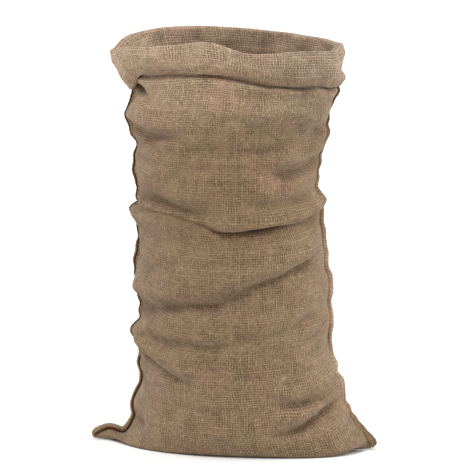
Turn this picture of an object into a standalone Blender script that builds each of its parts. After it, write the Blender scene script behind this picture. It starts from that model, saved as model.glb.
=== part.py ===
"""A jute sack that stands filled out and open, with its mouth turned down in a cuff.

One length of coarse jute cloth is folded at the bottom and sewn up both sides. The seam allowances
stay outside, whipped over with dark twine, and run down into two ears beside the base. The cloth is
one hollow wall of even thickness. The front faces -Y, +X is the right-hand side seen from the front,
and the sack stands on Z = 0 with the middle of its plan at the origin.
"""
import bmesh
import bpy
import numpy as np

# Driving dimensions, in metres.
BODY_WIDTH = 0.400  # filled body, side seam to side seam
BODY_DEPTH = 0.326  # filled body, front to back
MOUTH_HEIGHT = 0.850  # floor to the rim, where the cloth turns over
BASE_LENGTH = 0.592  # along the bottom fold, from the tip of one ear to the other
FOOT_DEPTH = 0.244  # front to back of the base that lies flat
EAR_RISE = 0.130  # floor to where the side seams leave the upright wall
SAG = 0.030  # how much lower the weft hangs at the middle of a panel than at its seams
CUFF_DROP = 0.068  # how far the turned mouth hangs down outside the wall
CUFF_STANDOFF = 0.014  # wall to cuff, both at the middle of the cloth
CUFF_TUCK = 0.014  # width of the cuff's edge that is turned under
EDGE_RADIUS = 0.003  # bend of the cloth at the cuff's lower edge
CLOTH = 0.002  # thickness of the jute cloth
CREASE_DEPTH = 0.014  # how deep the main crease is pressed in
CREASE_WIDTH = 0.026  # how far up and down a crease is felt
BULGE_DEPTH = 0.010  # how far the filling pushes the cloth out between the creases
SEAM_WIDTH = 0.009  # seam allowance left outside, away from the wall
SEAM_THICKNESS = 0.0045  # two layers of cloth, turned over and whipped
SEAM_UNDER_CUFF = 0.012  # how far the seams run up behind the cuff, above its lower edge
TWINE_DIAMETER = 0.003
GAP = 0.0003  # clearance between touching pieces

# Facets.
COLUMNS = 22  # across one panel, from the left seam to the right seam
ARC_STEPS = 240  # fine points from which the columns are spaced evenly along a section
DROP_STEPS = 20  # fine rows from the rim to the cuff's lower edge, along which the cuff is laid
ROLL_STEPS = 4  # facets of the half round over the rim
EDGE_STEPS = 3  # facets of the half round at the cuff's lower edge
TWINE_RINGS = 2  # bevel resolution of the twine
SHARP_ANGLE = 40  # degrees between faces from which an edge is shaded sharp

# Sections of the base, from the bottom fold out to the heel. The ears reach out from the wall by the
# shares left_out and right_out of their length, at the shares left_up and right_up of EAR_RISE.
# left_y and right_y place the seams, in half body depths. foot and swell carry the front and back
# edges out to the flat foot and on to the full depth. rise lifts them from the floor. left_point and
# right_point sharpen the ends, and flat is the share of the width that stays level.
BASE_NAMES = ("left_out", "left_up", "right_out", "right_up", "left_y", "right_y", "foot", "swell",
              "rise", "left_point", "right_point", "flat", "rows")
BASE_ROWS = (
    (1.00, 0.03, 1.00, 0.03, -0.04, -0.36, 0.00, 0.00, 0.00, 1.00, 1.00, 0.66, 1),
    (0.84, 0.13, 0.91, 0.12, 0.00, -0.34, 0.45, 0.00, 0.00, 0.66, 0.56, 0.60, 1),
    (0.66, 0.21, 0.81, 0.22, 0.02, -0.30, 0.78, 0.00, 0.00, 0.48, 0.38, 0.56, 1),
    (0.37, 0.24, 0.68, 0.33, 0.03, -0.25, 0.98, 0.00, 0.01, 0.31, 0.28, 0.50, 1),
    (0.18, 0.31, 0.48, 0.46, 0.04, -0.19, 1.00, 0.36, 0.08, 0.31, 0.28, 0.36, 1),
    (0.10, 0.46, 0.30, 0.61, 0.04, -0.15, 1.00, 0.72, 0.30, 0.37, 0.35, 0.20, 1),
    (0.05, 0.72, 0.12, 0.79, 0.05, -0.13, 1.00, 0.93, 0.62, 0.43, 0.42, 0.08, 1),
)

# Sections of the wall, from the ears up to the rim. up is the share of the way from EAR_RISE to
# MOUTH_HEIGHT. left and right are shares of half the body width, front, back, left_y and right_y of
# half its depth, and sag of SAG. rows is how many rows of facets follow before the next section.
WALL_NAMES = ("up", "left", "right", "left_y", "right_y", "front", "back", "sag", "left_point",
              "right_point", "rows")
WALL_ROWS = (
    (0.000, 0.950, 1.090, 0.05, -0.11, 1.02, 1.00, 1.00, 0.46, 0.44, 1),
    (0.035, 0.928, 1.045, 0.05, -0.10, 1.03, 1.02, 1.00, 0.48, 0.46, 2),
    (0.083, 0.943, 1.010, 0.05, -0.10, 1.03, 1.03, 1.00, 0.48, 0.46, 2),
    (0.144, 0.978, 0.998, 0.06, -0.10, 1.03, 1.03, 1.00, 0.48, 0.48, 2),
    (0.192, 0.948, 0.998, 0.05, -0.10, 1.02, 1.02, 1.00, 0.48, 0.48, 2),
    (0.244, 0.948, 0.985, 0.05, -0.10, 1.00, 1.00, 1.00, 0.48, 0.48, 2),
    (0.299, 0.993, 0.980, 0.05, -0.10, 0.98, 0.99, 1.00, 0.49, 0.48, 2),
    (0.351, 0.978, 0.960, 0.05, -0.10, 0.99, 0.98, 1.00, 0.49, 0.48, 2),
    (0.410, 0.963, 0.940, 0.05, -0.10, 1.00, 0.99, 1.00, 0.48, 0.48, 2),
    (0.458, 0.963, 0.938, 0.05, -0.10, 0.98, 1.00, 1.00, 0.48, 0.48, 2),
    (0.500, 0.993, 0.890, 0.05, -0.11, 0.97, 1.00, 1.00, 0.49, 0.50, 3),
    (0.546, 0.973, 0.905, 0.05, -0.11, 0.99, 0.98, 0.90, 0.48, 0.50, 2),
    (0.570, 0.968, 0.862, 0.05, -0.10, 0.98, 0.97, 0.82, 0.48, 0.50, 2),
    (0.625, 0.978, 0.890, 0.05, -0.10, 0.97, 0.97, 0.65, 0.48, 0.50, 2),
    (0.690, 0.988, 0.905, 0.05, -0.10, 0.96, 0.96, 0.48, 0.48, 0.50, 2),
    (0.755, 1.028, 0.945, 0.04, -0.08, 0.95, 0.95, 0.32, 0.50, 0.50, 1),
    (0.800, 1.038, 0.995, 0.03, -0.06, 0.94, 0.94, 0.22, 0.52, 0.50, 1),
    (0.838, 1.010, 1.020, 0.02, -0.05, 0.91, 0.92, 0.14, 0.54, 0.50, 1),
    (0.882, 1.005, 1.015, 0.01, -0.04, 0.89, 0.90, 0.06, 0.58, 0.50, 2),
    (0.935, 1.080, 1.025, 0.00, -0.03, 0.90, 0.90, 0.00, 0.64, 0.52, 2),
    (1.000, 1.195, 1.065, 0.00, -0.02, 0.92, 0.91, 0.00, 0.70, 0.54, 1),
)

# The mouth, going round it: 0 is the left corner, 1 the right corner and 2 the left corner again,
# with the front between 0 and 1. rim is the height in shares of MOUTH_HEIGHT, drop and standoff are
# shares of CUFF_DROP and CUFF_STANDOFF.
MOUTH_NAMES = ("around", "rim", "drop", "standoff")
MOUTH_ROWS = (
    (0.00, 0.975, 1.16, 1.46),
    (0.10, 0.980, 0.98, 1.10),
    (0.22, 0.983, 0.84, 1.00),
    (0.34, 0.990, 0.90, 0.95),
    (0.46, 0.997, 1.00, 1.00),
    (0.60, 0.970, 0.84, 0.95),
    (0.73, 0.974, 1.02, 1.05),
    (0.87, 0.975, 1.00, 1.10),
    (1.00, 0.988, 1.22, 1.46),
    (1.13, 0.990, 1.06, 1.10),
    (1.30, 1.000, 1.00, 0.95),
    (1.50, 1.018, 1.04, 1.00),
    (1.70, 1.022, 0.96, 1.00),
    (1.87, 0.999, 1.04, 1.10),
    (2.00, 0.975, 1.16, 1.46),
)

# The cuff from below the rim to above its lower edge: drop and out are shares of its own drop and
# standoff at that place.
CUFF_NAMES = ("drop", "out")
CUFF_ROWS = (
    (0.30, 1.06),
    (0.55, 1.08),
    (0.80, 1.00),
)
CUFF_EDGE_OUT = 0.98  # share of the standoff that is left at the lower edge
RIM_FADE = 0.3  # share of the wall, down from the rim, over which the rim's own heights fade out

SEAM_CORNERS = {"left": 0, "right": 1}  # where the side seams meet the mouth, as in its table

# Creases, each a line from start to end round the sack, with around as in the mouth's table. low,
# middle and high are its heights at start, halfway and end, in shares of MOUTH_HEIGHT. dip is
# pressed in along the line and lip swells out above it, in shares of CREASE_DEPTH. spread is in
# shares of CREASE_WIDTH.
CREASE_NAMES = ("start", "end", "low", "middle", "high", "dip", "lip", "spread")
CREASE_ROWS = (
    (0.30, 0.98, 0.560, 0.546, 0.590, 1.00, 0.70, 1.00),
    (0.50, 0.92, 0.400, 0.446, 0.480, 0.80, 0.35, 1.10),
    (0.06, 0.56, 0.352, 0.372, 0.388, 0.50, 0.30, 1.20),
    (0.04, 0.48, 0.630, 0.606, 0.582, 0.45, 0.35, 1.00),
    (0.02, 0.42, 0.822, 0.800, 0.792, 0.30, 0.30, 1.00),
    (0.62, 0.95, 0.690, 0.706, 0.722, 0.45, 0.20, 1.00),
    (0.72, 0.97, 0.822, 0.795, 0.765, 0.45, 0.15, 0.90),
    (0.46, 0.95, 0.290, 0.310, 0.362, 0.40, 0.25, 1.10),
    (0.06, 0.30, 0.258, 0.230, 0.200, 0.45, 0.25, 0.90),
    (0.68, 0.98, 0.052, 0.068, 0.098, 0.55, 0.40, 0.80),
    (1.02, 1.55, 0.590, 0.556, 0.520, 0.80, 0.55, 1.10),
    (1.35, 1.95, 0.420, 0.380, 0.440, 0.65, 0.40, 1.10),
    (1.05, 1.45, 0.270, 0.250, 0.300, 0.50, 0.30, 1.10),
    (1.50, 1.96, 0.660, 0.690, 0.780, 0.50, 0.30, 1.00),
    (1.10, 1.60, 0.780, 0.765, 0.740, 0.40, 0.20, 1.00),
)
CREASE_END = 0.22  # share of a crease's length over which each end fades out
DIP_CORE = 0.45  # half width of a dip, in widths of its crease
LIP_ABOVE = 0.85  # how far the lip's middle lies above the dip's, in widths of its crease
LIP_CORE = 0.6  # half width of a lip, in widths of its crease
LIP_DROOP = 0.45  # how far a lip hangs over its crease, for each unit that it swells out

# Bulges and hollows between the creases, with around as in the mouth's table and height in shares of
# MOUTH_HEIGHT. swell is in shares of BULGE_DEPTH, and below 0 for a hollow. wide is in columns' own
# measure, as around, and tall in shares of MOUTH_HEIGHT.
BULGE_NAMES = ("around", "height", "swell", "wide", "tall")
BULGE_ROWS = (
    (0.13, 0.822, 1.40, 0.08, 0.036),
    (0.13, 0.868, -0.70, 0.10, 0.018),
    (0.12, 0.275, 1.20, 0.07, 0.028),
    (0.08, 0.575, 0.50, 0.10, 0.040),
    (0.91, 0.602, 0.70, 0.07, 0.022),
    (0.90, 0.800, 0.60, 0.12, 0.045),
    (0.28, 0.720, 0.45, 0.16, 0.050),
    (0.62, 0.650, 0.50, 0.18, 0.050),
    (0.33, 0.470, 0.45, 0.20, 0.055),
    (0.72, 0.500, 0.35, 0.14, 0.035),
    (0.50, 0.330, 0.40, 0.22, 0.045),
    (0.40, 0.180, 0.45, 0.20, 0.060),
    (0.82, 0.200, 0.40, 0.16, 0.060),
    (1.22, 0.650, 0.60, 0.18, 0.050),
    (1.60, 0.470, 0.55, 0.20, 0.055),
    (1.30, 0.340, 0.50, 0.18, 0.050),
    (1.72, 0.230, 0.60, 0.18, 0.060),
    (1.55, 0.780, 0.40, 0.20, 0.040),
    (1.92, 0.700, 0.50, 0.10, 0.040),
)

# Colours as sRGB, read as 0 to 255.
JUTE_COLOUR = (146, 123, 98)
SEAM_COLOUR = (168, 145, 117)
TWINE_COLOUR = (74, 52, 30)
JUTE_ROUGHNESS = 0.92
TWINE_ROUGHNESS = 0.75


def table(names, rows):
    """The rows as one array for each named column."""
    return dict(zip(names, np.array(rows, float).T))


def smooth(at, stations, values):
    """A curve through the values at the stations, with the mean slope of its neighbours at each."""
    stations = np.asarray(stations, float)
    values = np.asarray(values, float)
    slopes = np.gradient(values, stations)
    at = np.clip(at, stations[0], stations[-1])
    first = np.clip(np.searchsorted(stations, at, side="right") - 1, 0, len(stations) - 2)
    width = stations[first + 1] - stations[first]
    part = (at - stations[first]) / width
    rest = 1.0 - part
    return (values[first] * rest ** 2 * (1 + 2 * part)
            + values[first + 1] * part ** 2 * (1 + 2 * rest)
            + slopes[first] * width * part * rest ** 2
            - slopes[first + 1] * width * part ** 2 * rest)


def ease(share):
    """0 to 1 with a level start and end."""
    share = np.clip(share, 0.0, 1.0)
    return share * share * (3.0 - 2.0 * share)


def unit(vectors):
    """The vectors, each one long."""
    return vectors / np.maximum(np.linalg.norm(vectors, axis=-1, keepdims=True), 1e-9)


def sections():
    """The measures of every section of the base and wall, in metres, one array for each."""
    base = table(BASE_NAMES, BASE_ROWS)
    wall = table(WALL_NAMES, WALL_ROWS)
    half_width, half_depth, half_foot = BODY_WIDTH / 2, BODY_DEPTH / 2, FOOT_DEPTH / 2
    floor = CLOTH / 2
    result = {}
    for side in ("left", "right"):
        upright = half_width * wall[side][0]
        base_x = upright + base[side + "_out"] * (BASE_LENGTH / 2 - upright)
        result[side] = np.concatenate([base_x, half_width * wall[side]])
        base_z = floor + base[side + "_up"] * (EAR_RISE - floor)
        wall_z = EAR_RISE + wall["up"] * (MOUTH_HEIGHT - EAR_RISE)
        result[side + "_z"] = np.concatenate([base_z, wall_z])
        result[side + "_y"] = half_depth * np.concatenate([base[side + "_y"], wall[side + "_y"]])
        result[side + "_point"] = np.concatenate([base[side + "_point"], wall[side + "_point"]])
    for face in ("front", "back"):
        heel = half_depth * wall[face][0]
        base_y = half_foot * base["foot"] + (heel - half_foot) * base["swell"]
        result[face] = np.concatenate([base_y, half_depth * wall[face]])
    base_z = floor + base["rise"] * (EAR_RISE - SAG - floor)
    result["middle_z"] = np.concatenate([base_z, wall_z - SAG * wall["sag"]])
    result["flat"] = np.concatenate([base["flat"], np.zeros(len(wall["up"]))])
    result["rows"] = np.concatenate([base["rows"], wall["rows"]]).astype(int)
    return result


def stations(rings):
    """How far up the cloth each section lies, as the mean run at its front, back and seams."""
    runs = [np.hypot(np.diff(rings["front"]), np.diff(rings["middle_z"])),
            np.hypot(np.diff(rings["back"]), np.diff(rings["middle_z"])),
            np.hypot(np.diff(rings["left"]), np.diff(rings["left_z"])),
            np.hypot(np.diff(rings["right"]), np.diff(rings["right_z"]))]
    return np.concatenate([[0.0], np.cumsum(np.mean(runs, axis=0))])


def panel(ring, face):
    """One row of a panel from seam to seam: x, y and the share along it, evenly spaced.

    The row runs by an angle from 0 at the left seam to a half turn at the right. Its x follows the
    cosine and its swell the sine to twice the point, on the straight line from seam to seam.
    """
    angle = np.linspace(0.0, np.pi, ARC_STEPS + 1)
    across = -np.cos(angle)
    reach = np.where(across < 0, ring["left"], ring["right"])
    point = np.where(across < 0, ring["left_point"], ring["right_point"])
    x = across * reach
    chord = ring["left_y"] + (x + ring["left"]) / (ring["left"] + ring["right"]) * (
        ring["right_y"] - ring["left_y"])
    outward = -1.0 if face == "front" else 1.0
    y = chord + outward * ring[face] * np.sin(angle) ** (2 * point)
    run = np.concatenate([[0.0], np.cumsum(np.hypot(np.diff(x), np.diff(y)))])
    share = np.linspace(0.0, 1.0, COLUMNS + 1)
    return np.interp(share * run[-1], run, x), np.interp(share * run[-1], run, y), share


def plain_row(ring):
    """One row right round the sack, without its creases: the front panel, then the back."""
    points = []
    for face in ("front", "back"):
        x, y, share = panel(ring, face)
        away = np.abs(2 * share - 1)
        lift = np.clip((away - ring["flat"]) / (1 - ring["flat"]), 0, 1) ** 2
        seam_z = np.where(share < 0.5, ring["left_z"], ring["right_z"])
        z = ring["middle_z"] + (seam_z - ring["middle_z"]) * lift
        points.append(np.stack([x, y, z], axis=1))
    front, back = points
    return np.concatenate([front[:-1], back[:0:-1]])


def around():
    """The place of each column round the mouth: 0 to 1 along the front, 1 to 2 along the back."""
    return np.arange(2 * COLUMNS) / COLUMNS


def outward_level(rows):
    """The level direction that points out of the sack at each point."""
    along = np.roll(rows, -1, axis=1) - np.roll(rows, 1, axis=1)
    return unit(np.stack([along[..., 1], -along[..., 0], np.zeros(along.shape[:2])], axis=-1))


def crease(rows):
    """The rows with each crease pressed in along its line, and a lip swelling out above it."""
    place = around()[None, :]
    push = np.zeros(rows.shape[:2])
    droop = np.zeros(rows.shape[:2])
    lines = table(CREASE_NAMES, CREASE_ROWS)
    for row in range(len(CREASE_ROWS)):
        line = {name: values[row] for name, values in lines.items()}
        share = (place - line["start"]) / (line["end"] - line["start"])
        fade = ease(share / CREASE_END) * ease((1 - share) / CREASE_END)
        height = MOUTH_HEIGHT * (line["low"] * (1 - share) * (1 - 2 * share)
                                 + 4 * line["middle"] * share * (1 - share)
                                 + line["high"] * share * (2 * share - 1))
        away = (rows[..., 2] - height) / (CREASE_WIDTH * line["spread"])
        dip = line["dip"] * np.exp(-(away / DIP_CORE) ** 2)
        lip = line["lip"] * np.exp(-((away - LIP_ABOVE) / LIP_CORE) ** 2)
        push += CREASE_DEPTH * fade * (lip - dip)
        droop += CREASE_DEPTH * fade * lip * LIP_DROOP
    result = rows + push[..., None] * outward_level(rows)
    result[..., 2] -= droop
    return result


def bulge(rows):
    """The rows with each bulge or hollow pushed out or in, as a round hill."""
    push = np.zeros(rows.shape[:2])
    hills = table(BULGE_NAMES, BULGE_ROWS)
    for row in range(len(BULGE_ROWS)):
        hill = {name: values[row] for name, values in hills.items()}
        aside = (around()[None, :] - hill["around"] + 1) % 2 - 1
        above = rows[..., 2] / MOUTH_HEIGHT - hill["height"]
        push += hill["swell"] * np.exp(-(aside / hill["wide"]) ** 2 - (above / hill["tall"]) ** 2)
    return rows + BULGE_DEPTH * push[..., None] * outward_level(rows)


def wall_rows(steps, rings):
    """The cloth at these runs up from the bottom fold, with its creases and the rim's own height."""
    marks = stations(rings)
    rows = []
    for step in steps:
        rows.append(plain_row({name: smooth(step, marks, values) for name, values in rings.items()}))
    rows = crease(bulge(np.array(rows)))
    mouth = table(MOUTH_NAMES, MOUTH_ROWS)
    rim = MOUTH_HEIGHT * (smooth(around(), mouth["around"], mouth["rim"]) - 1)
    below_rim = (marks[-1] - np.asarray(steps)) / (MOUTH_HEIGHT - EAR_RISE)
    rows[..., 2] += rim[None, :] * ease(1 - below_rim / RIM_FADE)[:, None]
    return rows


def pick(rows, number):
    """The point of each column at a fractional row number of its own."""
    number = np.clip(number, 0, len(rows) - 1.001)
    first = np.floor(number).astype(int)
    part = (number - first)[:, None]
    column = np.arange(rows.shape[1])
    return rows[first, column] * (1 - part) + rows[first + 1, column] * part


def mouth_rows(rings):
    """The rows from the rim over and down the cuff, to the edge that is turned under it."""
    mouth = table(MOUTH_NAMES, MOUTH_ROWS)
    drop = CUFF_DROP * smooth(around(), mouth["around"], mouth["drop"])
    standoff = CUFF_STANDOFF * smooth(around(), mouth["around"], mouth["standoff"])
    top = stations(rings)[-1]
    step = CUFF_DROP / DROP_STEPS
    count = int(np.ceil(drop.max() / step)) + 2
    near = wall_rows(top - step * np.arange(count), rings)
    out = outward_level(near)
    path = []
    for angle in np.linspace(0.0, np.pi, ROLL_STEPS + 1):
        path.append((standoff / 2 * (1 - np.sin(angle)), standoff / 2 * (1 - np.cos(angle))))
    for share_down, share_out in CUFF_ROWS:
        path.append((drop * share_down, standoff * share_out))
    edge = standoff * CUFF_EDGE_OUT
    for angle in np.linspace(0.0, np.pi, EDGE_STEPS + 1):
        path.append((drop - EDGE_RADIUS * (1 - np.sin(angle)), edge - EDGE_RADIUS * (1 - np.cos(angle))))
    path.append((drop - EDGE_RADIUS - CUFF_TUCK, edge - 2 * EDGE_RADIUS))
    rows = []
    for down, away in path:
        rows.append(pick(near, down / step) + away[:, None] * pick(out, down / step))
    return np.array(rows)


def cloth_rows():
    """The middle of the cloth, row by row from the bottom fold, and the number of wall rows."""
    rings = sections()
    marks = stations(rings)
    steps = []
    for low, high, count in zip(marks[:-1], marks[1:], rings["rows"][:-1]):
        steps.extend(np.linspace(low, high, count, endpoint=False))
    roll = CUFF_STANDOFF * table(MOUTH_NAMES, MOUTH_ROWS)["standoff"].max()
    steps = [step for step in steps if step < marks[-1] - roll]
    wall = wall_rows(steps, rings)
    return np.concatenate([wall, mouth_rows(rings)]), len(wall)


def srgb(colour):
    """A 0 to 255 sRGB colour as linear values with full alpha."""
    value = np.array(colour) / 255
    linear = np.where(value <= 0.04045, value / 12.92, ((value + 0.055) / 1.055) ** 2.4)
    return (*linear, 1.0)


def material(name, colour, roughness):
    """A plain matt material."""
    result = bpy.data.materials.new(name)
    result.use_nodes = True
    shader = result.node_tree.nodes["Principled BSDF"]
    shader.inputs["Base Color"].default_value = srgb(colour)
    shader.inputs["Roughness"].default_value = roughness
    shader.inputs["Metallic"].default_value = 0.0
    result.diffuse_color = srgb(colour)
    return result


def mesh_object(name, points, faces, finish, collection):
    """A smooth-shaded object from points and faces."""
    mesh = bpy.data.meshes.new(name)
    mesh.from_pydata([tuple(map(float, point)) for point in points], [], faces)
    mesh.materials.append(finish)
    mesh.shade_smooth()
    result = bpy.data.objects.new(name, mesh)
    collection.objects.link(result)
    return result


def sack_cloth(rows, collection):
    """The cloth: an open surface from the bottom fold to the cuff's turned edge, then thickened.

    The first row is the bottom fold, where the front and back panels are one, so its back half
    shares the front's points. The faces at its two ends are split from the ear's tip.
    """
    columns = rows.shape[1]
    fold = [min(column, columns - column) for column in range(columns)]
    start = columns // 2 + 1
    points = np.concatenate([rows[0, :start], rows[1:].reshape(-1, 3)])

    def index(row, column):
        column %= columns
        return fold[column] if row == 0 else start + (row - 1) * columns + column

    faces = []
    for row in range(len(rows) - 1):
        for column in range(columns):
            near, far = index(row, column), index(row, column + 1)
            far_up, near_up = index(row + 1, column + 1), index(row + 1, column)
            if row == 0 and column % COLUMNS == 0:
                faces.extend([(near, far, far_up), (near, far_up, near_up)])
            elif row == 0 and column % COLUMNS == COLUMNS - 1:
                faces.extend([(near, far, near_up), (far, far_up, near_up)])
            else:
                faces.append((near, far, far_up, near_up))
    finish = material("jute_cloth", JUTE_COLOUR, JUTE_ROUGHNESS)
    cloth = mesh_object("sack_cloth", points, faces, finish, collection)
    wall = cloth.modifiers.new("Cloth thickness", "SOLIDIFY")
    wall.thickness = CLOTH
    wall.offset = 0.0
    return cloth


def seam_path(rows, corner):
    """A side seam from its ear's tip to behind the cuff: points, outward and frontward directions.

    corner is 0 for the left seam and 1 for the right one, as in the mouth's table.
    """
    mouth = table(MOUTH_NAMES, MOUTH_ROWS)
    rim = MOUTH_HEIGHT * smooth(corner, mouth["around"], mouth["rim"])
    drop = CUFF_DROP * smooth(corner, mouth["around"], mouth["drop"])
    top = rim - drop + SEAM_UNDER_CUFF
    column = COLUMNS * corner
    below = np.sum(rows[:, column, 2] < top)
    low, high = rows[below - 1], rows[below]
    part = (top - low[column, 2]) / (high[column, 2] - low[column, 2])
    clear = np.sum(rows[:, column, 2] < top - SEAM_THICKNESS)
    rows = np.concatenate([rows[:clear], [low + part * (high - low)]])
    along = np.gradient(rows[:, column], axis=0)
    across = np.roll(rows, -1, axis=1)[:, column] - np.roll(rows, 1, axis=1)[:, column]
    outward = unit(np.cross(across, along))
    outward[0] = outward[1]
    frontward = unit(np.cross(outward, along))
    frontward *= np.where(frontward[:, 1] > 0, -1.0, 1.0)[:, None]
    return rows[:, column], outward, frontward


def side_seam(name, path, finish, collection):
    """A seam allowance: a flat strip that stands out from the wall and follows the seam."""
    points, outward, frontward = path
    near = CLOTH / 2 + GAP
    half = SEAM_THICKNESS / 2
    corners = ((near, half), (near + SEAM_WIDTH, half), (near + SEAM_WIDTH, -half), (near, -half))
    ring = len(corners)
    strip = np.stack([points + away * outward + front * frontward for away, front in corners], axis=1)
    faces = [tuple(range(ring)), tuple(range(len(points) * ring - 1, (len(points) - 1) * ring - 1, -1))]
    for row in range(len(points) - 1):
        for corner in range(ring):
            low = row * ring + corner
            next_low = row * ring + (corner + 1) % ring
            faces.append((low, low + ring, next_low + ring, next_low))
    seam = mesh_object(name, strip.reshape(-1, 3), faces, finish, collection)
    mesh = bmesh.new()
    mesh.from_mesh(seam.data)
    bmesh.ops.recalc_face_normals(mesh, faces=mesh.faces)
    mesh.to_mesh(seam.data)
    mesh.free()
    seam.data.set_sharp_from_angle(angle=np.radians(SHARP_ANGLE))
    return seam


def seam_twine(name, path, finish, collection):
    """The dark twine that lies along the front foot of a seam allowance."""
    points, outward, frontward = path
    radius = TWINE_DIAMETER / 2
    away = CLOTH / 2 + 2 * GAP + radius
    front = SEAM_THICKNESS / 2 + GAP + radius
    route = points + away * outward + front * frontward
    curve = bpy.data.curves.new(name, "CURVE")
    curve.dimensions = "3D"
    curve.bevel_depth = radius
    curve.bevel_resolution = TWINE_RINGS
    curve.use_fill_caps = True
    spline = curve.splines.new("POLY")
    spline.points.add(len(route) - 1)
    for point, place in zip(spline.points, route):
        point.co = (*map(float, place), 1.0)
    curve.materials.append(finish)
    twine = bpy.data.objects.new(name, curve)
    collection.objects.link(twine)
    return twine


def centred(rows, wall_count):
    """The rows with the middle of the plan at the origin, the seams' outer edges counted in."""
    outline = [rows.reshape(-1, 3)]
    for corner in SEAM_CORNERS.values():
        points, outward, _ = seam_path(rows[:wall_count], corner)
        outline.append(points + (CLOTH / 2 + GAP + SEAM_WIDTH) * outward)
    outline = np.concatenate(outline)
    middle = (outline.min(axis=0) + outline.max(axis=0)) / 2
    return rows - np.array([middle[0], middle[1], 0.0])


def clear_scene():
    """An empty file to model in."""
    for item in list(bpy.data.objects):
        bpy.data.objects.remove(item, do_unlink=True)


def build():
    """The sack in a collection of its own: the cloth, then each seam with its twine."""
    clear_scene()
    collection = bpy.data.collections.new("jute_sack")
    bpy.context.scene.collection.children.link(collection)
    rows, wall_count = cloth_rows()
    rows = centred(rows, wall_count)
    sack_cloth(rows, collection)
    seam_finish = material("seam_jute", SEAM_COLOUR, JUTE_ROUGHNESS)
    twine_finish = material("seam_twine", TWINE_COLOUR, TWINE_ROUGHNESS)
    for side, corner in SEAM_CORNERS.items():
        path = seam_path(rows[:wall_count], corner)
        side_seam(side + "_side_seam", path, seam_finish, collection)
        seam_twine(side + "_seam_twine", path, twine_finish, collection)


build()
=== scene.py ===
"""The jute sack's looks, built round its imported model: cloth, side seams, twine and loose fibres."""

import bpy
import numpy as np
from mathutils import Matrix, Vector


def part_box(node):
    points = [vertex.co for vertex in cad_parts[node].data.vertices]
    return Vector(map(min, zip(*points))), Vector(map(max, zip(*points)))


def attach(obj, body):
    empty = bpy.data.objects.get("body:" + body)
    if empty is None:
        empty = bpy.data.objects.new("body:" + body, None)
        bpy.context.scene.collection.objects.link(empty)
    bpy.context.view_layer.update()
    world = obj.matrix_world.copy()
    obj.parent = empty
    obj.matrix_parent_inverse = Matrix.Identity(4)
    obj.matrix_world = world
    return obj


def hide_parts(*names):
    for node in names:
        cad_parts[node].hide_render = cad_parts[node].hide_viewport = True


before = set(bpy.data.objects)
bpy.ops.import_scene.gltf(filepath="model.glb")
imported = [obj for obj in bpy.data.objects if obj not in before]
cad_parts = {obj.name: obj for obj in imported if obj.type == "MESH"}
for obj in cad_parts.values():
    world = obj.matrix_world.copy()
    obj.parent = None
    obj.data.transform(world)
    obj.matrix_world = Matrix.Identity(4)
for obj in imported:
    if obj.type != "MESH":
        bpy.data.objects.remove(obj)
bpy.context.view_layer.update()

scene = bpy.context.scene

# Camera
# It stands where the photograph was taken from: 5 degrees round to the right of the sack's front, 4.5 m
# off and a little above the rim, with a long lens that keeps the sack's sides nearly parallel.
CAMERA_TURN = np.radians(5.0)
CAMERA_AWAY = 4.5
CAMERA_HEIGHT = 1.05
AIM_HEIGHT = 0.4463
LENS_MM = 168.67
SENSOR_MM = 36.0

eye = Vector((np.sin(CAMERA_TURN) * CAMERA_AWAY, -np.cos(CAMERA_TURN) * CAMERA_AWAY, CAMERA_HEIGHT))
lens = bpy.data.cameras.new("camera")
lens.lens = LENS_MM
lens.sensor_width = SENSOR_MM
camera = bpy.data.objects.new("camera", lens)
camera.location = eye
camera.rotation_euler = (Vector((0.0, 0.0, AIM_HEIGHT)) - eye).to_track_quat("-Z", "Y").to_euler()
scene.collection.objects.link(camera)
scene.camera = camera

# White ground and light
# White paper lies level under the sack, past the edge of every view. An even white sky fills the shadows,
# a soft lamp high in front draws the folds, wide ones at the sides brighten the edges, and a weak one lights
# the back. A lamp's row says where it is, its strength, and how wide it looks in degrees.
GROUND_HALF = 80.0  # half the paper's width and length
PAPER = "#FAFAF9"
SKY = "#FFFFFF"
SKY_STRENGTH = 0.47
LAMP_ROWS = (
    ("front_lamp", (-0.08, -1.00, 1.85), 2.00, 30.0),
    ("right_lamp", (1.00, 0.30, 0.35), 2.20, 40.0),
    ("left_lamp", (-1.00, 0.30, 0.35), 1.00, 40.0),
    ("back_lamp", (0.00, 1.00, 0.90), 0.50, 60.0),
)


def linear(code):
    """An sRGB hex colour as linear light with full alpha."""
    value = np.array([int(code[at:at + 2], 16) for at in (1, 3, 5)]) / 255
    light = np.where(value <= 0.04045, value / 12.92, ((value + 0.055) / 1.055) ** 2.4)
    return (*map(float, light), 1.0)


def add(tree, kind, inputs=None, out=0, **settings):
    """Adds a node, sets its properties, gives each input a value or a node's output, returns one output."""
    made = tree.nodes.new("ShaderNode" + kind)
    for name, value in settings.items():
        setattr(made, name, value)
    for socket, value in (inputs or {}).items():
        if isinstance(value, bpy.types.NodeSocket):
            tree.links.new(value, made.inputs[socket])
        else:
            made.inputs[socket].default_value = value
    return made.outputs[out] if made.outputs else None


def new_material(name):
    """An empty material and its node tree."""
    made = bpy.data.materials.new(name)
    made.use_nodes = True
    made.node_tree.nodes.clear()
    return made, made.node_tree


def mesh_object(name, points, faces, finish, uv=None):
    """A smooth object from points and faces, with the points' places on the flat cloth as its UV map."""
    mesh = bpy.data.meshes.new(name)
    mesh.from_pydata(points.reshape(-1, 3).tolist(), [], faces)
    if uv is not None:
        corners = np.empty(len(mesh.loops), np.int32)
        mesh.loops.foreach_get("vertex_index", corners)
        layer = mesh.uv_layers.new(name="cloth")
        layer.uv.foreach_set("vector", uv.reshape(-1, 2)[corners].astype(np.float32).ravel())
    mesh.materials.append(finish)
    mesh.shade_smooth()
    made = bpy.data.objects.new(name, mesh)
    scene.collection.objects.link(made)
    return made


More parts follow.
